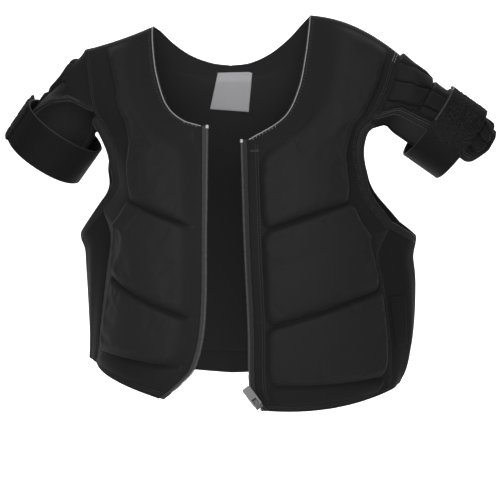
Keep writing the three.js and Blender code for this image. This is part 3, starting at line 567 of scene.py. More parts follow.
# columns: deep tone, pale tone, roughness, sheen, threads across, threads along, lean, relief, fuzz (mm)
CLOTH = {
    "cover_jersey": (0.0064, 0.0104, 0.80, 0.03, 900, 700, 0.5, 0.10, 0.10),
    # the guards' jersey is the cover's jersey painted darker, painted shade on the arms
    "guard_jersey_painted_shade": (0.0026, 0.0045, 0.76, 0.04, 900, 700, 0.5, 0.10, 0.10),
    # one lining in two tones: the left is painted lighter than the right, painted light where its inside lies
    # in shadow
    "guard_lining_left": (0.0380, 0.0520, 0.85, 0.03, 700, 700, 0.0, 0.12, 0.08),
    "guard_lining_right": (0.0150, 0.0210, 0.85, 0.03, 700, 700, 0.0, 0.12, 0.08),
    "inside_lining": (0.0120, 0.0170, 0.85, 0.03, 700, 700, 0.0, 0.12, 0.08),
    "side_stretch": (0.0030, 0.0050, 0.82, 0.02, 1100, 500, 0.0, 0.12, 0.06),
    "edge_binding": (0.0060, 0.0100, 0.75, 0.05, 500, 1200, 0.5, 0.12, 0.08),
    "strap_elastic": (0.0014, 0.0026, 0.78, 0.02, 420, 900, 0.0, 0.18, 0.08),
    "strap_selvage": (0.0160, 0.0260, 0.75, 0.05, 900, 900, 0.5, 0.12, 0.10),
    "strap_pile": (0.0080, 0.0240, 0.92, 0.05, 600, 600, 0.5, 0.30, 0.50),
    # one zip tape in two tones: the right half is painted lighter than the left, painted light and shade
    "zip_tape_left": (0.013, 0.018, 0.80, 0.10, 1600, 1100, 0.5, 0.12, 0.06),
    "zip_tape_right": (0.028, 0.036, 0.80, 0.10, 1600, 1100, 0.5, 0.12, 0.06),
    "label_satin": (0.29, 0.35, 0.55, 0.10, 2200, 1500, 0.25, 0.05, 0.02),
    "label_black": (0.003, 0.005, 0.85, 0.02, 2200, 1500, 0.25, 0.05, 0.02),
}


def painted_sewn_shade(tree, colour, share):
    """Colour with painted shade: it sinks to a share of itself where the cloth is sewn flat."""
    free = add_node(tree, "ShaderNodeAttribute", attribute_name="free").outputs["Fac"]
    return scaled(tree, colour, calc(tree, "ADD", calc(tree, "MULTIPLY", free, 1 - share), share))


def bumped(tree, height, strength, distance):
    inputs = {"Height": height, "Strength": strength, "Distance": distance}
    return add_node(tree, "ShaderNodeBump", inputs).outputs["Normal"]


def new_finish(name):
    """New material, its node tree and its shader."""
    finish = bpy.data.materials.new(name)
    finish.use_nodes = True
    return finish, finish.node_tree, finish.node_tree.nodes["Principled BSDF"]


def cool(tone):
    return tone, tone, tone * BLUE_CAST, 1


def cloth_finish(name):
    deep, pale, rough, sheen, across, along, lean, relief, fuzz = CLOTH[name]
    finish, tree, shader = new_finish(name)
    tones = {"Deep": cool(deep), "Pale": cool(pale), "Roughness": rough}
    tone = add_node(tree, "ShaderNodeGroup", tones, node_tree=CLOTH_TONE).outputs
    counts = {"Threads Across": across, "Threads Along": along, "Shift": lean}
    threads = add_node(tree, "ShaderNodeGroup", counts, node_tree=THREAD_RELIEF).outputs["Height"]
    height = weighted(tree, (threads, relief * MM), (tone["Fuzz"], fuzz * MM))
    wire(tree, shader, {
        "Base Color": painted_sewn_shade(tree, tone["Color"], SEWN_PAINTED_SHADE.get(name, 1)),
        "Roughness": tone["Roughness"],
        "Normal": bumped(tree, height, CLOTH_BUMP, 1),
        "Sheen Weight": sheen,
        "Sheen Roughness": SHEEN_ROUGHNESS,
        "Specular IOR Level": CLOTH_SPECULAR,
    })
    return finish


FINISH = {name: cloth_finish(name) for name in CLOTH}
print("cloth finishes:", ", ".join(FINISH))

# %% [markdown]
# The hard trim is metal and nylon. The slider and the end pieces are satin nickel with fine scratches, the
# tab is the same nickel painted lighter as a painted reflection, and the zip's coil is grey moulded nylon.
# Sewing threads are small hard pieces too. All of them read object coordinates, because they have no
# cloth direction.

# %% Hard finishes
HARD_DETAIL, HARD_SWING, HARD_BUMP = 4, 0.3, 0.5
# columns: deep tone, pale tone, roughness, metallic, noise scale, relief (mm)
HARD = {
    "satin_nickel": (0.12, 0.19, 0.34, 1.0, 700, 0.02),
    # the tab is the slider's nickel painted lighter, a painted reflection
    "tab_nickel_painted_lighter": (0.20, 0.28, 0.38, 1.0, 700, 0.02),
    "nylon_coil": (0.045, 0.065, 0.45, 0.0, 1200, 0.03),
    "nylon_pale": (0.30, 0.42, 0.40, 0.0, 1200, 0.02),
    "thread_pale": (0.17, 0.25, 0.70, 0.0, 2500, 0.05),
    "thread_grey": (0.045, 0.070, 0.70, 0.0, 2500, 0.05),
    "thread_soft": (0.018, 0.028, 0.70, 0.0, 2500, 0.05),
    "thread_dark": (0.007, 0.011, 0.65, 0.0, 2500, 0.05),
}


def hard_finish(name):
    deep, pale, rough, metallic, scale, relief = HARD[name]
    finish, tree, shader = new_finish(name)
    noise = object_noise(tree, scale, HARD_DETAIL)
    wire(tree, shader, {
        "Base Color": two_tones(tree, noise, (deep, deep, deep, 1), (pale, pale, pale, 1)),
        "Roughness": swing(tree, noise, rough, HARD_SWING),
        "Metallic": metallic,
        "Normal": bumped(tree, noise, HARD_BUMP, relief * MM),
    })
    return finish


def wear(piece, slot, *finishes, replaces=()):
    """Dresses a finished piece: materials, the body it rides on and the solids it stands for; its slot is not
    used.
    """
    for name in finishes:
        piece.data.materials.append(FINISH[name])
    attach(piece, BODY)
    if replaces:
        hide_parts(*replaces)
    return piece


FINISH.update({name: hard_finish(name) for name in HARD})
print("hard finishes:", ", ".join(HARD))

# %% [markdown]
# A front holds three foam cushions under one cover, and a thinner pad in its hem. Each is a rounded block,
# so its height is worked out from the distance to its own edges: the margins at zip, neck and armhole, and
# the narrow grooves between blocks. Distances are measured along the cloth, so a groove is equally wide
# everywhere. A block has a tight round at its head and a wide one at its foot, where the foam thins out. At
# the zip the left front has a flat margin, and the right one slopes down to the edge. Towards the neck the
# top cushion fades into the plain shoulder. Fine ripples along the sewn edges come from the thread's pull.
# Sculpting could give such forms too, but a rule keeps both fronts alike.

# %% Front panels
WALL = 3.0
PAD_RISE, PAD_ROUND, PAD_CORNER = 8.5, 8.0, 12.0
HEAD_ROUND, FOOT_ROUND, RIDGE_FADE = 6.0, 15.0, 26.0
GROOVE_GAP = 1.6
HEM_FOOT, HEM_SHARE = 0.012, 0.55
FRONT_NECK, NECK_STEPS = 26, 60
# distance at which a side of a block no longer counts
NO_EDGE = 6 * PAD_CORNER
# columns: plain margin beside the zip, and length of the slope there in mm
ZIP_EDGE = {"left": (14, 1), "right": (2, 32)}
# columns: where the edge at the neck starts to fade, where it is gone, then its start and length in mm
NECK_FADE = {"left": (0.67, 0.8, 12, 36), "right": (0.46, 0.6, 10, 36)}
MARGIN_BLEND = 0.03
RIPPLE, RIPPLE_PITCH, RIPPLE_REACH = 0.3, 13.0, 9.0
FRONT_COLUMNS, FRONT_ROWS = 84, 230
SIDES = ("left", "right")


def stations(count, corners):
    return np.unique(np.concatenate([np.linspace(0, 1, count), corners]))


def row_at(stations_up, station):
    return int(np.argmin(np.abs(stations_up - station)))


def block_rise(distances, corner, edge):
    """Share of full height of a foam block with round corners, from the distances to its sides."""
    short = [np.maximum(0, corner - d) for d in distances]
    inside = corner - np.sqrt(sum(s * s for s in short))
    return rounded(inside / edge)


def free_share(rise):
    """How free the cover is: sewn below half the height of the foam, and free on its top."""
    return smooth(rise * 2 - 1)


def blended(up, corner, before, after):
    return before + (after - before) * smooth((up - corner) / MARGIN_BLEND + 0.5)


def ripple(distance, along):
    wave = np.sin(2 * math.pi * along / RIPPLE_PITCH)
    return RIPPLE * wave * np.exp(-np.maximum(distance, 0) / RIPPLE_REACH)


def from_neckline(panel, skin, start):
    """Distance of each point to the panel's neckline, which starts at a share of the way up."""
    line = follow(panel["inner"], np.linspace(start, 1, NECK_STEPS))
    return np.linalg.norm(skin[:, :, None] - line, axis=-1).min(axis=-1)


print("cushions stand", PAD_RISE, "mm over a wall of", WALL, "mm")

# %% [markdown]
# With these rules a front is one grid of points from zip to armhole and from hem to ridge. The height of
# its cover is the largest of the four blocks at each point. The share of that height also says where the
# cover is free and where it is sewn.

# %% Front covers
def front_grid(name):
    """Skin, cushion share and cover height of a front."""
    lines = [HEM_FOOT, PAD_FOOT, LOWER_GROOVE, UPPER_GROOVE, PAD_TOP]
    up = stations(FRONT_ROWS, [*lines, UNDERARM, ZIP_TOP, ARM_CORNER])
    skin = panel_skin(FRONT[name], np.linspace(0, 1, FRONT_COLUMNS)[None], up[:, None], 1)
    over, along = lengths(skin, 1), lengths(skin, 0)
    fade_from, fade_to, soft_start, soft_length = NECK_FADE[name]
    faded = smooth((up - fade_from) / (fade_to - fade_from))[:, None]
    neckline = from_neckline(FRONT[name], skin, ZIP_TOP)
    soft = smooth((neckline - soft_start) / soft_length)
    margin, slope = ZIP_EDGE[name]
    edge = over - blended(up, ZIP_TOP, margin, -NO_EDGE)[:, None]
    outer = over[:, -1:] - over - follow(FRONT[name]["pad"], up)
    rise = np.zeros(over.shape)
    for low, high in zip(lines[:-1], lines[1:]):
        foot = (along - along[row_at(up, low)] - GROOVE_GAP / 2) * PAD_ROUND / FOOT_ROUND
        head = (along[row_at(up, high)] - along - GROOVE_GAP / 2) * PAD_ROUND / HEAD_ROUND
        sides = [edge, outer, foot, head]
        crisp = block_rise([*sides, neckline - FRONT_NECK], PAD_CORNER, PAD_ROUND)
        block = crisp + (block_rise(sides, PAD_CORNER, PAD_ROUND) * soft - crisp) * faded
        rise = np.maximum(rise, block * (HEM_SHARE if low == HEM_FOOT else 1))
    rise = rise * smooth((along[row_at(up, PAD_TOP)] - along) / RIDGE_FADE) * smooth(over / slope)
    pull = ripple(over, along) + ripple(over[:, -1:] - over, along)
    return skin, rise, WALL + PAD_RISE * rise + pull


fronts = {}
for name in SIDES:
    skin, rise, cover = front_grid(name)
    grid = patch(skin, outward(skin), 0, cover, free=free_share(rise))
    fronts[name] = cloth_wall(f"front_{name}", grid)
    wear(fronts[name], "black_jersey", "cover_jersey", "inside_lining", replaces=[f"front_panel_{name}"])
    print(fronts[name].name, len(fronts[name].data.polygons), "faces")

# %% [markdown]
# The back is one large pad with a plain margin, cut in two halves that are welded along the spine. A Mirror
# modifier would make the halves equal, but the vest stands a little uneven, so each has its own edges.
# Above the neckline the halves part and run up to the shoulder ridges. The pad also shows on the inside, as
# a low step below the neck.

# %% Back panel
BACK_RISE, BACK_ROUND, BACK_CORNER = 6.5, 9.0, 30.0
INSIDE_RISE, INSIDE_ROUND = 3.0, 4.0
NECK_MARGIN, RIDGE_MARGIN, SIDE_MARGIN, ARMHOLE_MARGIN = 20, 20, 4, 15
BACK_COLUMNS, BACK_ROWS = 60, 170


def neck_margin(up):
    return NECK_MARGIN + RIDGE_MARGIN * smooth((up - NECK_CENTRE) / (1 - NECK_CENTRE))


def back_grid(name):
    up = stations(BACK_ROWS, [PAD_FOOT, UNDERARM, NECK_CENTRE, ARM_CORNER, PAD_TOP])
    skin = panel_skin(BACK[name], np.linspace(0, 1, BACK_COLUMNS)[None], up[:, None], -1)
    over, along = lengths(skin, 1), lengths(skin, 0)
    centre = row_at(up, NECK_CENTRE)
    neck = from_neckline(BACK[name], skin, NECK_CENTRE) - neck_margin(up)[:, None]
    foot, head = along - along[row_at(up, PAD_FOOT)], along[row_at(up, PAD_TOP)] - along
    edge = over[:, -1:] - over - blended(up, UNDERARM, SIDE_MARGIN, ARMHOLE_MARGIN)[:, None]
    sides = [neck, foot, head, edge]
    rise = block_rise(sides, BACK_CORNER, BACK_ROUND)
    inside = -INSIDE_RISE * block_rise(sides, BACK_CORNER, INSIDE_ROUND)
    cover = WALL + BACK_RISE * rise + ripple(over[:, -1:] - over, along)
    return patch(skin, outward(skin), inside, cover, free=free_share(rise), border=centre)


back = cloth_wall("back", back_grid("left"), back_grid("right"))
wear(back, "black_jersey", "cover_jersey", "inside_lining", replaces=["back_panel"])
print(back.name, len(back.data.polygons), "faces")

# %% [markdown]
# The cover is sewn down in the grooves and along the margins, and lies free over the foam between them. A
# short cloth simulation lets it find its own place: the cover has a little more length than the foam needs,
# so it swells and creases between its seams. How free each point is was stored on the mesh. The simulation
# is applied, held to less than two millimetres, and its modifier is taken away.

# %% Settle the covers
SETTLE_FRAMES = 14
SETTLE_LIMIT = 1.6
COVER_CLOTH = {
    "quality": 4, "mass": 0.05, "tension_stiffness": 12, "compression_stiffness": 12, "shear_stiffness": 6,
    "bending_stiffness": 0.4, "shrink_min": -0.02, "use_pressure": True, "uniform_pressure_force": 1.5,
}
COVER_GRAVITY = 0.05


def pin_cover(piece, free):
    pins = piece.vertex_groups.new(name="sewn")
    for number, share in enumerate(free):
        pins.add([number], 1 - float(share), "REPLACE")
    modifier = piece.modifiers.new("settle", "CLOTH")
    modifier.settings.vertex_group_mass = pins.name
    for setting, value in COVER_CLOTH.items():
        setattr(modifier.settings, setting, value)
    modifier.settings.effector_weights.gravity = COVER_GRAVITY
    modifier.collision_settings.use_collision = False
    modifier.point_cache.frame_start = 1
    modifier.point_cache.frame_end = SETTLE_FRAMES
    return modifier


def read_points(mesh):
    flat = np.zeros(len(mesh.vertices) * 3, np.float32)
    mesh.vertices.foreach_get("co", flat)
    return flat.reshape(-1, 3)


def settle(piece):
    free = np.zeros(len(piece.data.vertices), np.float32)
    piece.data.attributes["free"].data.foreach_get("value", free)
    start = read_points(piece.data)
    modifier = pin_cover(piece, free)
    scene = bpy.context.scene
    for number in range(1, SETTLE_FRAMES + 1):
        scene.frame_set(number)
    seen = piece.evaluated_get(bpy.context.evaluated_depsgraph_get())
    shift = read_points(seen.data) - start
    piece.modifiers.remove(modifier)
    piece.vertex_groups.clear()
    scene.frame_set(1)
    far = np.linalg.norm(shift, axis=1, keepdims=True)
    limit = SETTLE_LIMIT * MM
    shift *= free[:, None] * np.tanh(far / limit) * limit / np.maximum(far, 1e-9)
    piece.data.vertices.foreach_set("co", (start + shift).ravel())
    piece.data.update()
    return float(far.max() / MM)


for piece in [*fronts.values(), back]:
    print(piece.name, "moved", round(settle(piece), 1), "mm before the limit")

# %% [markdown]
# Under each arm a thin stretch cloth joins the front to the back. It hangs a little slack, so it has
# shallow folds that run up from the hem. It is a plain sheet, sewn at both seams, so it needs no
# simulation: a bow across and a slanting wave give its shape.

# %% Side panels
# columns: share of the way up to the underarm, bulge sideways, rise
SIDE_BOW = {
    "left": [(0, 10, -3), (0.3, 24, 0), (0.7, 30, -4), (1, 26, -17)],
    "right": [(0, 10, 4), (0.3, 13, 0), (0.7, 20, -5), (1, 22, -29)],
}
SIDE_COLUMNS, SIDE_ROWS = 40, 70
SIDE_FOLD, SIDE_FOLDS, FOLD_FADE, FOLD_SLANT = 0.9, 3.5, 0.6, 0.35


def side_skin(name, across, up):
    """Side cloth from the front seam to the back seam, at shares that broadcast together."""
    across, up = np.broadcast_arrays(np.asarray(across, float), np.asarray(up, float))
    front, rear = follow(FRONT[name]["outer"], up * UNDERARM), follow(BACK[name]["outer"], up * UNDERARM)
    bulge, rise = np.moveaxis(follow(SIDE_BOW[name], up), -1, 0)
    bowed = np.stack([bulge * FRONT[name]["side"], 0 * bulge, rise], -1)
    return front + (rear - front) * across[..., None] + bowed * arch(across)[..., None]


def side_fold(across, up):
    slack = arch(across) * (1 - FOLD_FADE * up)
    return SIDE_FOLD * slack * np.sin(2 * math.pi * (SIDE_FOLDS * across + FOLD_SLANT * up))


for name in SIDES:
    across, up = np.linspace(0, 1, SIDE_COLUMNS)[None], np.linspace(0, 1, SIDE_ROWS)[:, None]
    skin = side_skin(name, across, up)
    fold = side_fold(across, up)
    side = cloth_wall(f"side_{name}", patch(skin, outward(skin), fold, fold + WALL))
    wear(side, "black_stretch", "side_stretch", "inside_lining", replaces=[f"side_panel_{name}"])

# %% [markdown]
# A folded band closes the lower armhole, from the front corner under the arm to the back corner. A bevelled
# curve would make it a round cord, but a folded edge is flat. So it is a narrow wall that follows the cut
# edges of the panels and rises towards the middle of the armhole, with a slightly domed section.

# %% Armhole bands
ARMHOLE_CENTRE = {"left": (222, 4, -160), "right": (-186, 4, -150)}
BAND_FRONT, BAND_BACK = 0.78, 0.725
BAND_WIDTH, BAND_DOME = 9.0, 0.9
BAND_STEPS, BAND_COLUMNS = 70, 9


def armhole_way(name):
    down = np.linspace(BAND_FRONT, UNDERARM, BAND_STEPS)[:-1]
    under = side_skin(name, np.linspace(0, 1, BAND_STEPS), 1)
    rising = np.linspace(UNDERARM, BAND_BACK, BAND_STEPS)[1:]
    return np.concatenate([follow(FRONT[name]["outer"], down), under, follow(BACK[name]["outer"], rising)])


def band_skin(name):
    edge = armhole_way(name)
    facing = outward(edge)
    inwards = np.array(ARMHOLE_CENTRE[name]) - edge
    inwards = unit(inwards - facing * (inwards * facing).sum(-1, keepdims=True))
    reach = np.linspace(0, BAND_WIDTH, BAND_COLUMNS)
    skin = edge[:, None] + inwards[:, None] * reach[None, :, None]
    return skin, np.repeat(facing[:, None], len(reach), axis=1), reach / BAND_WIDTH


for name in SIDES:
    skin, facing, share = band_skin(name)
    dome = BAND_DOME * arch(share)
    band = cloth_wall(f"band_{name}", patch(skin, facing, -dome / 2, WALL + dome))
    wear(band, "black_jersey", "edge_binding", "edge_binding", replaces=[f"armhole_band_{name}"])

# %% [markdown]
# An arm guard is a part of a tube of foam ribs that starts at the slanting arm seam and narrows to a
# tongue. Each of its lines starts at its own place on the seam and soon turns into the round of the arm.
# The ribs share the way round evenly and run along the arm, and two cross grooves let the guard bend. Each
# rib is a pillow with a round edge, so the grid has its lines close together beside the valleys. A bound
# edge runs along both long sides.

# %% Arm guards
# section columns: reach along the arm, half depth, half height, first angle, last angle
# blend: reach over which the seam turns into the round guard, at its front and rear edge
# plain: cloth without ribs along the front edge, along the rear edge and at the seam
# dip: share of the way round by which the ribs sink near the seam, so that they run straight
ARM = {
    "left": {
        "base": (185, 1, -62), "along": (0.82, 0, -0.57), "blend": (25, 25), "strap": 86, "hang": 15,
        "sections": [
            (25, 44, 37, -28, 226), (45, 41, 33, -26, 250), (66, 41, 33, -22, 244), (114, 41, 33, -30, 178),
            (126, 40, 33, -23, 138), (134, 39, 32, 10, 96),
        ],
        "plain": (10.5, 10, 3), "dip": 0.045,
        "tab": {"from": -18, "to": 99, "peel": 0},
    },
    "right": {
        "base": (-163, 1, -54), "along": (-0.59, 0.2, -0.782), "blend": (12, 10), "strap": 85, "hang": 16,
        "sections": [
            (13, 42, 27, 2, 215), (22, 42, 28, 10, 221), (30, 42, 29, 25, 227), (40, 41, 31, 41, 235),
            (50, 41, 33, 51, 242), (64, 41, 35, 63, 250), (100, 41, 36, 94, 262), (118, 41, 36, 112, 252),
            (134, 39, 35, 158, 212),
        ],
        "plain": (23, 10, 12), "dip": 0,
        "tab": {"from": 54, "to": 117, "peel": 8},
    },
}
RIB_COUNT = 8
# places of the grid's lines on a rib, closer together beside the valleys
RIB_LINES = (0, 0.02, 0.05, 0.09, 0.14, 0.2, 0.28, 0.4, 0.5, 0.6, 0.72, 0.8, 0.86, 0.91, 0.95, 0.98)
RIB_RISE, RIB_ROUND, RIB_CORNER, RIB_GAP = 6.0, 5.5, 3.5, 0.3
RIB_DIP_REACH, RIB_DIP_EDGE = 0.36, 0.1
CROSS_GROOVES = [40, 92]
GUARD_TIP = 5
GUARD_BINDING, BINDING_RISE, BINDING_ROUND = 7.0, 0.8, 2
GUARD_ROWS = 190


def arm_axes(arm):
    along = unit(np.array(arm["along"], float))
    front = np.array((0.0, -1.0, 0.0))
    front = unit(front - along * (front @ along))
    up = np.cross(front, along)
    return np.array(arm["base"], float), along, front, up * np.sign(up[2])


def arm_round(arm, reach, degrees, half_depth, half_height):
    base, along, front, up = arm_axes(arm)
    angle = np.radians(degrees)[..., None]
    return base + along * reach[..., None] + (
        front * np.cos(angle) * half_depth[..., None] + up * np.sin(angle) * half_height[..., None]
    )


def arm_facing(arm, degrees):
    _, _, front, up = arm_axes(arm)
    angle = np.radians(degrees)[..., None]
    return front * np.cos(angle) + up * np.sin(angle)


def arm_seam(name, share):
    """Arm seam from the front corner over the ridge to the back corner."""
    away = np.abs(2 * share - 1)
    front = follow(FRONT[name]["outer"], 1 - away * (1 - ARM_CORNER))
    rear = follow(BACK[name]["outer"], 1 - away * (1 - REAR_CORNER))
    return np.where(share[..., None] < 0.5, front, rear)


def guard_skin(name, row, share):
    """Skin, facing, reach along the arm and distance from the seam; rows run from the seam to the tip."""
    arm = ARM[name]
    base, along, _, _ = arm_axes(arm)
    row, share = np.broadcast_arrays(np.asarray(row, float), np.asarray(share, float))
    seam = arm_seam(name, share)
    first = (seam - base) @ along
    reach = first + (arm["sections"][-1][0] - first) * row
    half_depth, half_height, start, end = np.moveaxis(follow(arm["sections"], reach), -1, 0)
    degrees = start + (end - start) * share
    near, far = arm["blend"]
    mix = smooth((reach - first) / (near + (far - near) * share))[..., None]
    facing = unit(outward(seam) * (1 - mix) + arm_facing(arm, degrees) * mix)
    at_seam = seam + along * (reach - first)[..., None]
    skin = at_seam * (1 - mix) + arm_round(arm, reach, degrees, half_depth, half_height) * mix
    return skin, facing, reach, reach - first


print("guard lengths:", [ARM[name]["sections"][-1][0] for name in SIDES], "mm along the arm")

# %% [markdown]
# The ribs are blocks as the cushions are, only smaller and many. An Array of pillows would leave gaps where
# the guard narrows, so the ribs are worked out on the guard's own grid, and their width follows the way
# round.

# %% Guard ribs
def rib_rise(name, skin, share, reach, from_seam):
    """Share of full height of the ribs over a guard's grid, and the distance to the nearer long edge."""
    from_front = lengths(skin, 1)
    width = from_front[:, -1:]
    in_rib = np.mod(share * RIB_COUNT, 1)
    beside = np.minimum(in_rib, 1 - in_rib) * width / RIB_COUNT - RIB_GAP / 2
    tip = ARM[name]["sections"][-1][0] - GUARD_TIP
    grooves = [np.abs(reach - groove) - RIB_GAP / 2 for groove in CROSS_GROOVES]
    front, rear, start = ARM[name]["plain"]
    sides = [beside, from_front - front, width - from_front - rear, from_seam - start, tip - reach, *grooves]
    return block_rise(sides, RIB_CORNER, RIB_ROUND), np.minimum(from_front, width - from_front)


guards = {}
for name in SIDES:
    share = np.append(np.add.outer(np.arange(RIB_COUNT), RIB_LINES).ravel() / RIB_COUNT, 1)[None]
    row = np.linspace(0, 1, GUARD_ROWS)[:, None]
    dip = ARM[name]["dip"] * np.sin(math.pi * np.clip(row / RIB_DIP_REACH, 0, 1)) ** 2
    placed = share - dip * smooth(share / RIB_DIP_EDGE) * (1 - share)
    skin, facing, reach, from_seam = guard_skin(name, row, placed)
    rise, from_edge = rib_rise(name, skin, share, reach, from_seam)
    bound = from_edge < GUARD_BINDING
    cover = WALL + RIB_RISE * rise
    cover = cover + BINDING_RISE * rounded((GUARD_BINDING - from_edge) / BINDING_ROUND) * bound
    guards[name] = cloth_wall(f"guard_{name}", patch(skin, facing, 0, cover, trim=bound))
    wear(guards[name], "black_jersey", "guard_jersey_painted_shade", f"guard_lining_{name}", "edge_binding",
         replaces=[f"arm_guard_{name}"])
    print(guards[name].name, len(guards[name].data.polygons), "faces")

# %% [markdown]
# A wide elastic loop holds each guard on the arm. It lies close over the ribs and hangs open below, and its
# two selvages are paler than its middle. A torus has no flat width, so the loop is a wall like the other
# cloth. It is a ring, so its first line is also its last.

# %% Arm straps
STRAP_WIDTH, STRAP_THICK, STRAP_SEAT = 48.0, 2.2, 10.6
SELVAGE = 1.0
STRAP_LINES, STRAP_COLUMNS = 181, 37


def strap_skin(name, degrees, reach):
    """Strap loop at angles and reaches that broadcast together."""
    arm = ARM[name]
    half_depth, half_height = follow(arm["sections"], arm["strap"])[:2]
    above = np.mod(degrees, 360) <= 180
    height = half_height + np.where(above, STRAP_SEAT, arm["hang"])
    degrees, reach, height = np.broadcast_arrays(degrees, reach, height)
    return arm_round(arm, reach, degrees, np.full(degrees.shape, half_depth + STRAP_SEAT), height)


def strap_reach(name, across):
    return ARM[name]["strap"] + (across - 0.5) * STRAP_WIDTH


straps = {}
for name in SIDES:
    degrees = np.linspace(0, 360, STRAP_LINES)[:, None]
    across = np.linspace(0, 1, STRAP_COLUMNS)[None]
    skin = strap_skin(name, degrees, strap_reach(name, across))
    facing = np.broadcast_to(arm_facing(ARM[name], degrees), skin.shape)
    selvage = np.minimum(across, 1 - across) * STRAP_WIDTH < SELVAGE
    grid = patch(skin, facing, 0, STRAP_THICK, trim=selvage, border="ring")
    straps[name] = cloth_wall(f"strap_{name}", grid)
    wear(straps[name], "black_webbing", "strap_elastic", "strap_elastic", "strap_selvage",
         replaces=[f"arm_strap_{name}"])

# %% [markdown]
# Small pieces in large numbers, such as tufts of pile and stitches, come from geometry nodes. A tree puts
# one small piece on many points, makes the copies real and gives them their material. The result is kept as
# a plain mesh, and the modifier goes. The first tree scatters oval tufts over a surface, with a fixed seed,
# so that every run gives the same tufts.

# %% Trees of small pieces
TUFT_DENSITY, TUFT_LENGTH, TUFT_SEED = 130000, 2.7, 3
TUFT_LEAN = 0.8
# shares of the tuft's length: along, across and height
TUFT_LEAST, TUFT_MOST = (0.6, 0.25, 0.3), (1.0, 0.4, 0.7)


def turned(tree, rotation, by):
    inputs = {"Rotation": rotation, "Rotate By": by}
    return add_node(tree, "FunctionNodeRotateRotation", inputs, rotation_space="LOCAL").outputs["Rotation"]


def piece_tree(name, sizes):
    """Empty geometry tree for small pieces, with its own sizes, a seed and a material as inputs."""
    inputs = {"Geometry": "Geometry", **sizes, "Seed": "Int", "Material": "Material"}
    return new_tree("GeometryNodeTree", name, inputs, {"Geometry": "Geometry"})


def set_pieces(tree, given, out, points, piece, rotation, scale):
    """Ends a tree: a piece at each point, made real, smooth and given its material."""
    inputs = {"Points": points, "Instance": piece, "Rotation": rotation, "Scale": scale}
    placed = add_node(tree, "GeometryNodeInstanceOnPoints", inputs).outputs["Instances"]
    real = add_node(tree, "GeometryNodeRealizeInstances", {"Geometry": placed}).outputs["Geometry"]
    soft = add_node(tree, "GeometryNodeSetShadeSmooth", {"Geometry": real}).outputs["Geometry"]
    inputs = {"Geometry": soft, "Material": given["Material"]}
    wire(tree, out, {"Geometry": add_node(tree, "GeometryNodeSetMaterial", inputs).outputs["Geometry"]})


def grown(name, carrier, tree, values):
    """Plain mesh object that a node tree makes from a carrier object; the carrier is left as it was."""
    modifier = carrier.modifiers.new(name, "NODES")
    modifier.node_group = tree
    for item in tree.interface.items_tree:
        if item.in_out == "INPUT" and item.name in values:
            modifier[item.identifier] = values[item.name]
    carrier.update_tag()
    seen = carrier.evaluated_get(bpy.context.evaluated_depsgraph_get())
    mesh = bpy.data.meshes.new_from_object(seen)
    carrier.modifiers.remove(modifier)
    mesh.name = name
    return link(name, mesh)


def tuft_tree():
    tree, given, out = piece_tree("scattered_tufts", {"Density": "Float", "Length": "Float"})
    inputs = {"Mesh": given["Geometry"], "Density": given["Density"], "Seed": given["Seed"]}
    scatter = add_node(tree, "GeometryNodeDistributePointsOnFaces", inputs).outputs

    def random_vector(least, most):
        inputs = {"Min": least, "Max": most, "Seed": given["Seed"]}
        return add_node(tree, "FunctionNodeRandomValue", inputs, data_type="FLOAT_VECTOR").outputs["Value"]

    turn = random_vector((-TUFT_LEAN, -TUFT_LEAN, -math.pi), (TUFT_LEAN, TUFT_LEAN, math.pi))
    size = scaled(tree, random_vector(TUFT_LEAST, TUFT_MOST), given["Length"])
    tuft = add_node(tree, "GeometryNodeMeshIcoSphere", {"Radius": 0.5, "Subdivisions": 1}).outputs["Mesh"]
    set_pieces(tree, given, out, scatter["Points"], tuft, turned(tree, scatter["Rotation"], turn), size)
    return tree


TUFTS = tuft_tree()
print("tree:", TUFTS.name)

# %% [markdown]
# The end of each strap is faced with looped pile and pressed onto the loop below. Its free corners are
# round, and the end of the right one peels off a little. A bump map could suggest the pile, but its edge
# would stay smooth, so the tufts are real.

# %% Strap tabs and pile
TAB_THICK, TAB_CLEAR, TAB_CORNER, TAB_PEEL_SHARE = 2.0, 0.4, 9.0, 0.55
TAB_LINES, TAB_COLUMNS = 70, 31
PILE_ROUGH, PILE_SEED = 0.35, 7


def tab_skin(name):
    """Skin of a tab, its seat over the loop and its facing; the free end has round corners."""
    tab = ARM[name]["tab"]
    share = np.linspace(0, 1, TAB_LINES)[:, None]
    degrees = tab["from"] + (tab["to"] - tab["from"]) * share
    middle = strap_skin(name, degrees, np.full(1, strap_reach(name, 0.5)))[:, 0]
    to_end = lengths(middle[::-1, None], 0)[::-1]
    cut = TAB_CORNER * (1 - rounded(to_end / TAB_CORNER))
    across = np.linspace(0, 1, TAB_COLUMNS)[None]
    inset = cut / STRAP_WIDTH
    reach = strap_reach(name, inset + across * (1 - 2 * inset))
    peel = tab["peel"] * smooth((share - TAB_PEEL_SHARE) / (1 - TAB_PEEL_SHARE))
    facing = arm_facing(ARM[name], degrees + 0 * across)
    return strap_skin(name, degrees, reach), STRAP_THICK + TAB_CLEAR + peel, facing


roughness = np.random.default_rng(PILE_SEED)
for name in SIDES:
    skin, seat, facing = tab_skin(name)
    rough = PILE_ROUGH * roughness.random(skin.shape[:2])
    tab = cloth_wall(f"tab_{name}", patch(skin, facing, seat, seat + TAB_THICK + rough))
    wear(tab, "loop_pile", "strap_elastic", "strap_elastic", replaces=[f"strap_tab_{name}"])
    values = {"Density": TUFT_DENSITY, "Length": TUFT_LENGTH * MM, "Seed": TUFT_SEED}
    pile = grown(f"pile_{name}", tab, TUFTS, {**values, "Material": FINISH["strap_pile"]})
    wear(pile, "loop_pile")
    print(pile.name, len(pile.data.polygons), "faces")

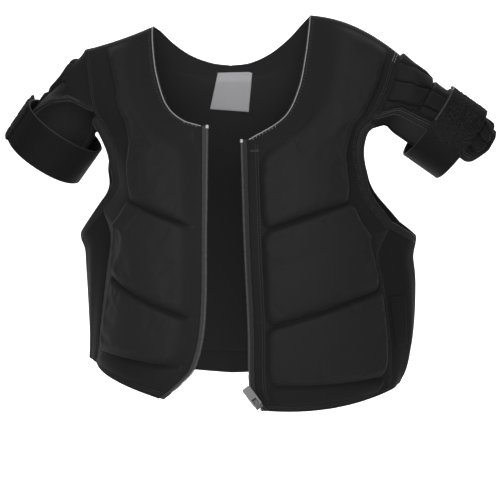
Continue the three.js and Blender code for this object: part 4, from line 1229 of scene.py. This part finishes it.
# %% [markdown]
# Stitches, edge threads and the teeth of a coil zip are all one thing: a small rounded piece repeated along
# a line. An Array modifier along a curve could set them, but it doesn't know which way the cloth faces. So
# one node tree does it. The line is a chain of edges that carries the facing of the cloth, and the tree
# sets the pieces at a pitch, turns them to the line and gives each a slightly different size.

# %% Rows of small pieces
ROW_SEED = 1
LEAST_SIZE, MOST_SIZE = 0.9, 1.1
BEAD = {"Segments": 8, "Rings": 6, "Radius": 0.5}


def line_rotation(tree):
    """Rotation with X along the line and Z the way that the cloth faces."""
    tangent = add_node(tree, "GeometryNodeInputTangent").outputs["Tangent"]
    facing = add_node(tree, "GeometryNodeInputNamedAttribute", {"Name": "facing"}, data_type="FLOAT_VECTOR")
    along = add_node(tree, "FunctionNodeAlignRotationToVector", {"Vector": tangent}, axis="X")
    inputs = {"Rotation": along.outputs["Rotation"], "Vector": facing.outputs["Attribute"]}
    upright = add_node(tree, "FunctionNodeAlignRotationToVector", inputs, axis="Z", pivot_axis="X")
    return upright.outputs["Rotation"]


def row_tree():
    tree, given, out = piece_tree("row_of_pieces", {"Pitch": "Float", "Size": "Vector", "Turn": "Float"})
    curve = add_node(tree, "GeometryNodeMeshToCurve", {"Mesh": given["Geometry"]}).outputs["Curve"]
    inputs = {"Curve": curve, "Length": given["Pitch"]}
    points = add_node(tree, "GeometryNodeResampleCurve", inputs, mode="LENGTH").outputs["Curve"]
    inputs = {"Axis": (0, 0, 1), "Angle": given["Turn"]}
    slant = add_node(tree, "FunctionNodeAxisAngleToRotation", inputs).outputs["Rotation"]
    inputs = {2: LEAST_SIZE, 3: MOST_SIZE, "Seed": given["Seed"]}
    vary = add_node(tree, "FunctionNodeRandomValue", inputs, data_type="FLOAT").outputs[1]
    bead = add_node(tree, "GeometryNodeMeshUVSphere", BEAD).outputs["Mesh"]
    rotation = turned(tree, line_rotation(tree), slant)
    set_pieces(tree, given, out, points, bead, rotation, scaled(tree, given["Size"], vary))
    return tree


ROWS = row_tree()


def row_of(name, lines, finish, pitch, size, turn=0, slot_name="black_jersey", replaces=()):
    """Small pieces along lines of (points, facings) in mm; size is (along, across, height)."""
    points, facings, edges = [], [], []
    for line, facing in lines:
        start = len(points)
        points.extend((line * MM).tolist())
        facings.extend(facing.tolist())
        edges.extend((start + i, start + i + 1) for i in range(len(line) - 1))
    mesh = bpy.data.meshes.new(name)
    mesh.from_pydata(points, edges, [])
    mesh.attributes.new("facing", "FLOAT_VECTOR", "POINT").data.foreach_set("vector", np.ravel(facings))
    carrier = link(f"{name}_line", mesh)
    values = {"Pitch": pitch * MM, "Size": [v * MM for v in size], "Turn": math.radians(turn)}
    row = grown(name, carrier, ROWS, {**values, "Seed": ROW_SEED, "Material": FINISH[finish]})
    bpy.data.objects.remove(carrier)
    return wear(row, slot_name, replaces=replaces)


def panel_line(name, up, reach, lift=0, from_outer=False):
    """Line on a front's cover, at a reach in mm from its inner or outer edge."""
    panel = FRONT[name]
    width = np.linalg.norm(follow(panel["outer"], up) - follow(panel["inner"], up), axis=-1)
    across = reach / width
    skin = panel_skin(panel, 1 - across if from_outer else across, up, 1)
    facing = outward(skin)
    return skin + facing * (WALL + lift), facing


print("row tree inputs:", [item.name for item in ROWS.interface.items_tree if item.in_out == "INPUT"])

# %% [markdown]
# The zip is open, so each front carries one half of it: a woven tape and a row of nylon coil turns. A coil
# could be a curve with a screw, but its turns show only as short bars across the edge, so they are a row of
# pieces. At the top of each row a pale moulded stop keeps the slider on.

# %% Zip
SEAM = 0.4
TAPE_SHOW, TAPE_LOW, TAPE_HIGH = 4.4, 0.8, 2.0
CHAIN_WIDTH, CHAIN_MID = 3.0, 1.4
ZIP_END = {"left": 0.006, "right": 0.014}
COIL_PITCH, COIL_SIZE = 1.5, (1.35, 3.2, 2.5)
STOP_PITCH, STOP_SIZE, STOP_DROP = 10, (3.4, 4.0, 3.0), 0.003
TAPE_ROWS, TAPE_COLUMNS, COIL_STEPS = 130, 8, 200


def zip_line(name, up, reach):
    """Line beyond the zip edge of a front, by a reach towards the opening."""
    inner, outer = follow(FRONT[name]["inner"], up), follow(FRONT[name]["outer"], up)
    away = unit((inner - outer) * (1, 1, 0))
    return inner + away * reach, outward(inner)


for name in SIDES:
    up = np.linspace(0, ZIP_TOP, TAPE_ROWS)
    reaches = np.linspace(0, SEAM + TAPE_SHOW + CHAIN_WIDTH / 2, TAPE_COLUMNS)
    skin = np.stack([zip_line(name, up, reach)[0] for reach in reaches], axis=1)
    facing = np.repeat(zip_line(name, up, 0)[1][:, None], len(reaches), axis=1)
    tape = cloth_wall(f"tape_{name}", patch(skin, facing, TAPE_LOW, TAPE_HIGH))
    wear(tape, "grey_tape", *[f"zip_tape_{name}"] * 2, replaces=[f"zip_tape_{name}"])
    middle = 2 * SEAM + TAPE_SHOW + CHAIN_WIDTH / 2
    line, facing = zip_line(name, np.linspace(ZIP_END[name], ZIP_TOP, COIL_STEPS), middle)
    row_of(f"coil_{name}", [(line + facing * CHAIN_MID, facing)], "nylon_coil", COIL_PITCH, COIL_SIZE,
           slot_name="grey_plastic", replaces=[f"zip_chain_{name}"])
    top, facing = zip_line(name, np.array([ZIP_TOP - STOP_DROP, ZIP_TOP]), middle)
    row_of(f"stop_{name}", [(top + facing * CHAIN_MID, facing)], "nylon_pale", STOP_PITCH, STOP_SIZE,
           slot_name="grey_plastic")

# %% [markdown]
# The slider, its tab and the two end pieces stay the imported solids. Sharp edges give a model away, so their
# points are merged and a Bevel modifier rounds every edge a little.

# %% Zip metal
HARD_EDGE, HARD_WELD = 0.35, 0.02

for node in ("zip_slider", "zip_pull", "zip_box", "zip_pin"):
    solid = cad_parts[node]
    weld = solid.modifiers.new("weld", "WELD")
    weld.merge_threshold = HARD_WELD * MM
    bevel = solid.modifiers.new("edges", "BEVEL")
    bevel.width = HARD_EDGE * MM
    bevel.segments = 2
    solid.data.materials.clear()
    solid.data.materials.append(FINISH["tab_nickel_painted_lighter" if node == "zip_pull" else "satin_nickel"])

# %% [markdown]
# Two labels are sewn in: a pale satin one inside the neck and a small black one in the left side seam. Both
# are bare. A Shrinkwrap modifier could lay the neck label on the back, but its points can also be found on
# the back's own surface, which keeps the label even.

# %% Neck label
# label corners: x and z of the lower pair, then of the upper pair
NECK_LABEL = {"lower": [(-25, -81), (21.5, -84.5)], "upper": [(-15.5, -37), (26.5, -36)], "thick": 0.6}
LABEL_CLEAR, LABEL_DROP = 1.0, 4
LABEL_ROWS, LABEL_COLUMNS = 24, 25
SEARCH_FROM, HALVINGS = 0.6, 24


def on_back(x, z):
    """Points of the back's skin at given x and z, found by halving the way up the panel."""
    sides = []
    for name in ("right", "left"):
        low, high = np.full(x.shape, SEARCH_FROM), np.full(x.shape, NECK_CENTRE)
        for _ in range(HALVINGS):
            up = (low + high) / 2
            across = np.abs(x) / np.abs(follow(BACK[name]["outer"], up)[..., 0])
            point = panel_skin(BACK[name], across, up, -1)
            below = point[..., 2] < z
            low, high = np.where(below, up, low), np.where(below, high, up)
        sides.append(point)
    return np.where((x < 0)[..., None], *sides)


across = np.linspace(0, 1, LABEL_COLUMNS)[None, :, None]
up = np.linspace(0, 1, LABEL_ROWS)[:, None, None]
edges = [np.array(NECK_LABEL[edge]) for edge in ("lower", "upper")]
lower, upper = (start + (end - start) * across for start, end in edges)
place = lower + (upper - lower) * up
skin = on_back(place[..., 0], place[..., 1])
hang = -LABEL_CLEAR - INSIDE_RISE * smooth((1 - up[..., 0]) * LABEL_DROP)
neck_label = cloth_wall("label_neck", patch(skin, outward(skin), hang - NECK_LABEL["thick"], hang))
wear(neck_label, "pale_label", "label_satin", "label_satin", replaces=["neck_label"])

# %% [markdown]
# The black label is sewn in at the seam between the left front and the side. It lies on the stretch cloth,
# so its points come from the same function, and it has the folds of the cloth below.

# %% Side label
SIDE_LABEL = {"width": 14.0, "from": 0.29, "to": 0.54, "start": 3.0, "thick": 0.8}
SIDE_LABEL_ROWS, SIDE_LABEL_COLUMNS = 20, 9

up = np.linspace(SIDE_LABEL["from"], SIDE_LABEL["to"], SIDE_LABEL_ROWS)[:, None]
seams = [follow(cut["left"]["outer"], up * UNDERARM) for cut in (FRONT, BACK)]
depth = np.linalg.norm(seams[1] - seams[0], axis=-1)
across = (SIDE_LABEL["start"] + SIDE_LABEL["width"] * np.linspace(0, 1, SIDE_LABEL_COLUMNS)[None]) / depth
skin = side_skin("left", across, up)
seat = WALL + SEAM + side_fold(across, up)
side_label = cloth_wall("label_side", patch(skin, outward(skin), seat, seat + SIDE_LABEL["thick"]))
wear(side_label, "black_webbing", "label_black", "label_black", replaces=["side_label"])

# %% [markdown]
# Sewing finishes the vest. The neck edge has a pale edge thread with slanted stitches just inside it, which
# are softer in tone on the shoulder. The zip has a double row of dark topstitching, and so have the hem and
# the side seams. The guards are sewn with a softer thread in closer stitches. A short stretch on the left
# shoulder and a small tack at the zip's top have paler thread. The edge of the left strap tab is oversewn,
# with pale thread towards its free end. All of these are rows of the one node tree.

# %% Sewing
THREAD, STITCH_PITCH, CLOSE_PITCH = (2.6, 0.9, 0.7), 3.4, 2.2
NECK_FROM, NECK_TO = ZIP_TOP + 0.004, 0.995
EDGE_THREAD, EDGE_PITCH, EDGE_REACH, EDGE_LIFT = (2.4, 1.5, 1.4), 1.3, 0.4, 0.1
TICK, TICK_PITCH, TICK_SLANT, TICK_REACH = (4.4, 0.6, 0.5), 4.0, 62, 4.2
# columns: part of the neck edge, where it starts and ends, and its thread
TICK_PARTS = [("low", NECK_FROM, 0.71, "thread_pale"), ("high", 0.715, NECK_TO, "thread_soft")]
ZIP_ROWS, ZIP_SEWN = (8.0, 10.5), (0.03, ZIP_TOP - 0.01)
HEM_ROWS, HEM_SEWN, FRONT_LENGTH = (2.6, 4.6), (0.02, 0.98), 450
SEAM_ROWS, SEAM_SEWN = (1.8, 4.2), (0.01, 0.99)
GUARD_SEAMS, GUARD_SEWN = (GUARD_BINDING - 1.2, GUARD_BINDING + 1.6), (0.05, 0.9)
RIDGE_SEWN, RIDGE_LIFT = (0.945, 0.992), 0.3
TACK, TACK_PITCH, TACK_SLANT, TACK_STEPS = (3.6, 0.8, 0.7), 1.7, 70, 12
TACK_UP, TACK_REACH = 0.638, (3.5, 11)
TAB_EDGE, TAB_EDGE_PITCH = (2.4, 1.8, 1.4), 1.3
# columns: part of the tab's edge, its first and last line of the tab's grid, and its thread
TAB_EDGE_PARTS = [("low", 10, 46, "thread_soft"), ("high", 45, 66, "thread_pale")]


def hem_line(name, rise):
    """Line along the hem of a front, a rise in mm above its edge."""
    skin = panel_skin(FRONT[name], np.linspace(*HEM_SEWN, 80), rise / FRONT_LENGTH, 1)
    facing = outward(skin)
    return skin + facing * WALL, facing


def guard_line(name, rows, from_edge):
    """Line along a guard's front edge, a distance in mm from it."""
    skin = guard_skin(name, rows[:, None], np.linspace(0, 1, 90)[None])[0]
    share = from_edge / lengths(skin, 1)[:, -1]
    line, facing = guard_skin(name, rows, share)[:2]
    return line + facing * (WALL + BINDING_RISE), facing


print("stitches of", THREAD[0], "mm at", STITCH_PITCH, "mm")

# %% [markdown]
# Both fronts and both guards are sewn alike, so one loop makes their rows. The slant of the stitches at the
# neck is turned round on the right side.

# %% Seams on both sides
for name in SIDES:
    edge = panel_line(name, np.linspace(NECK_FROM, NECK_TO, 160), EDGE_REACH, EDGE_LIFT)
    row_of(f"neck_thread_{name}", [edge], "thread_pale", EDGE_PITCH, EDGE_THREAD)
    for part, start, end, thread in TICK_PARTS:
        ticks = panel_line(name, np.linspace(start, end, 90), TICK_REACH)
        slant = TICK_SLANT * FRONT[name]["side"]
        row_of(f"neck_ticks_{part}_{name}", [ticks], thread, TICK_PITCH, TICK, turn=slant)
    zip_up, seam_up = np.linspace(*ZIP_SEWN, 200), np.linspace(*SEAM_SEWN, 300)
    seams = {
        "zip": [panel_line(name, zip_up, reach) for reach in ZIP_ROWS],
        "hem": [hem_line(name, rise) for rise in HEM_ROWS],
        "side": [panel_line(name, seam_up, reach, from_outer=True) for reach in SEAM_ROWS],
    }
    for seam, lines in seams.items():
        row_of(f"{seam}_stitches_{name}", lines, "thread_dark", STITCH_PITCH, THREAD)
    guard_up = np.linspace(*GUARD_SEWN, 120)
    lines = [guard_line(name, guard_up, away) for away in GUARD_SEAMS]
    row_of(f"guard_stitches_{name}", lines, "thread_soft", CLOSE_PITCH, THREAD)
    print("sewn", name)

# %% [markdown]
# The last threads are on the left side alone: the pale stretch on the shoulder, the tack at the top of the
# zip and the oversewn edge of the strap tab.

# %% Threads on the left side
ridge_up = np.linspace(*RIDGE_SEWN, 30)
ridge_rows = [panel_line("left", ridge_up, reach, RIDGE_LIFT, from_outer=True) for reach in SEAM_ROWS]
row_of("ridge_stitches", ridge_rows, "thread_pale", STITCH_PITCH, THREAD)
tack = panel_line("left", np.full(TACK_STEPS, TACK_UP), np.linspace(*TACK_REACH, TACK_STEPS))
row_of("zip_tack", [tack], "thread_grey", TACK_PITCH, TACK, turn=TACK_SLANT)
skin, seat, facing = tab_skin("left")
tab_edge = skin[:, 0] + facing[:, 0] * (seat[:, 0] + TAB_THICK)[:, None]
for part, first, last, thread in TAB_EDGE_PARTS:
    line = tab_edge[first:last], facing[first:last, 0]
    row = row_of(f"tab_edge_{part}", [line], thread, TAB_EDGE_PITCH, TAB_EDGE)
    print(row.name, len(row.data.polygons), "faces")
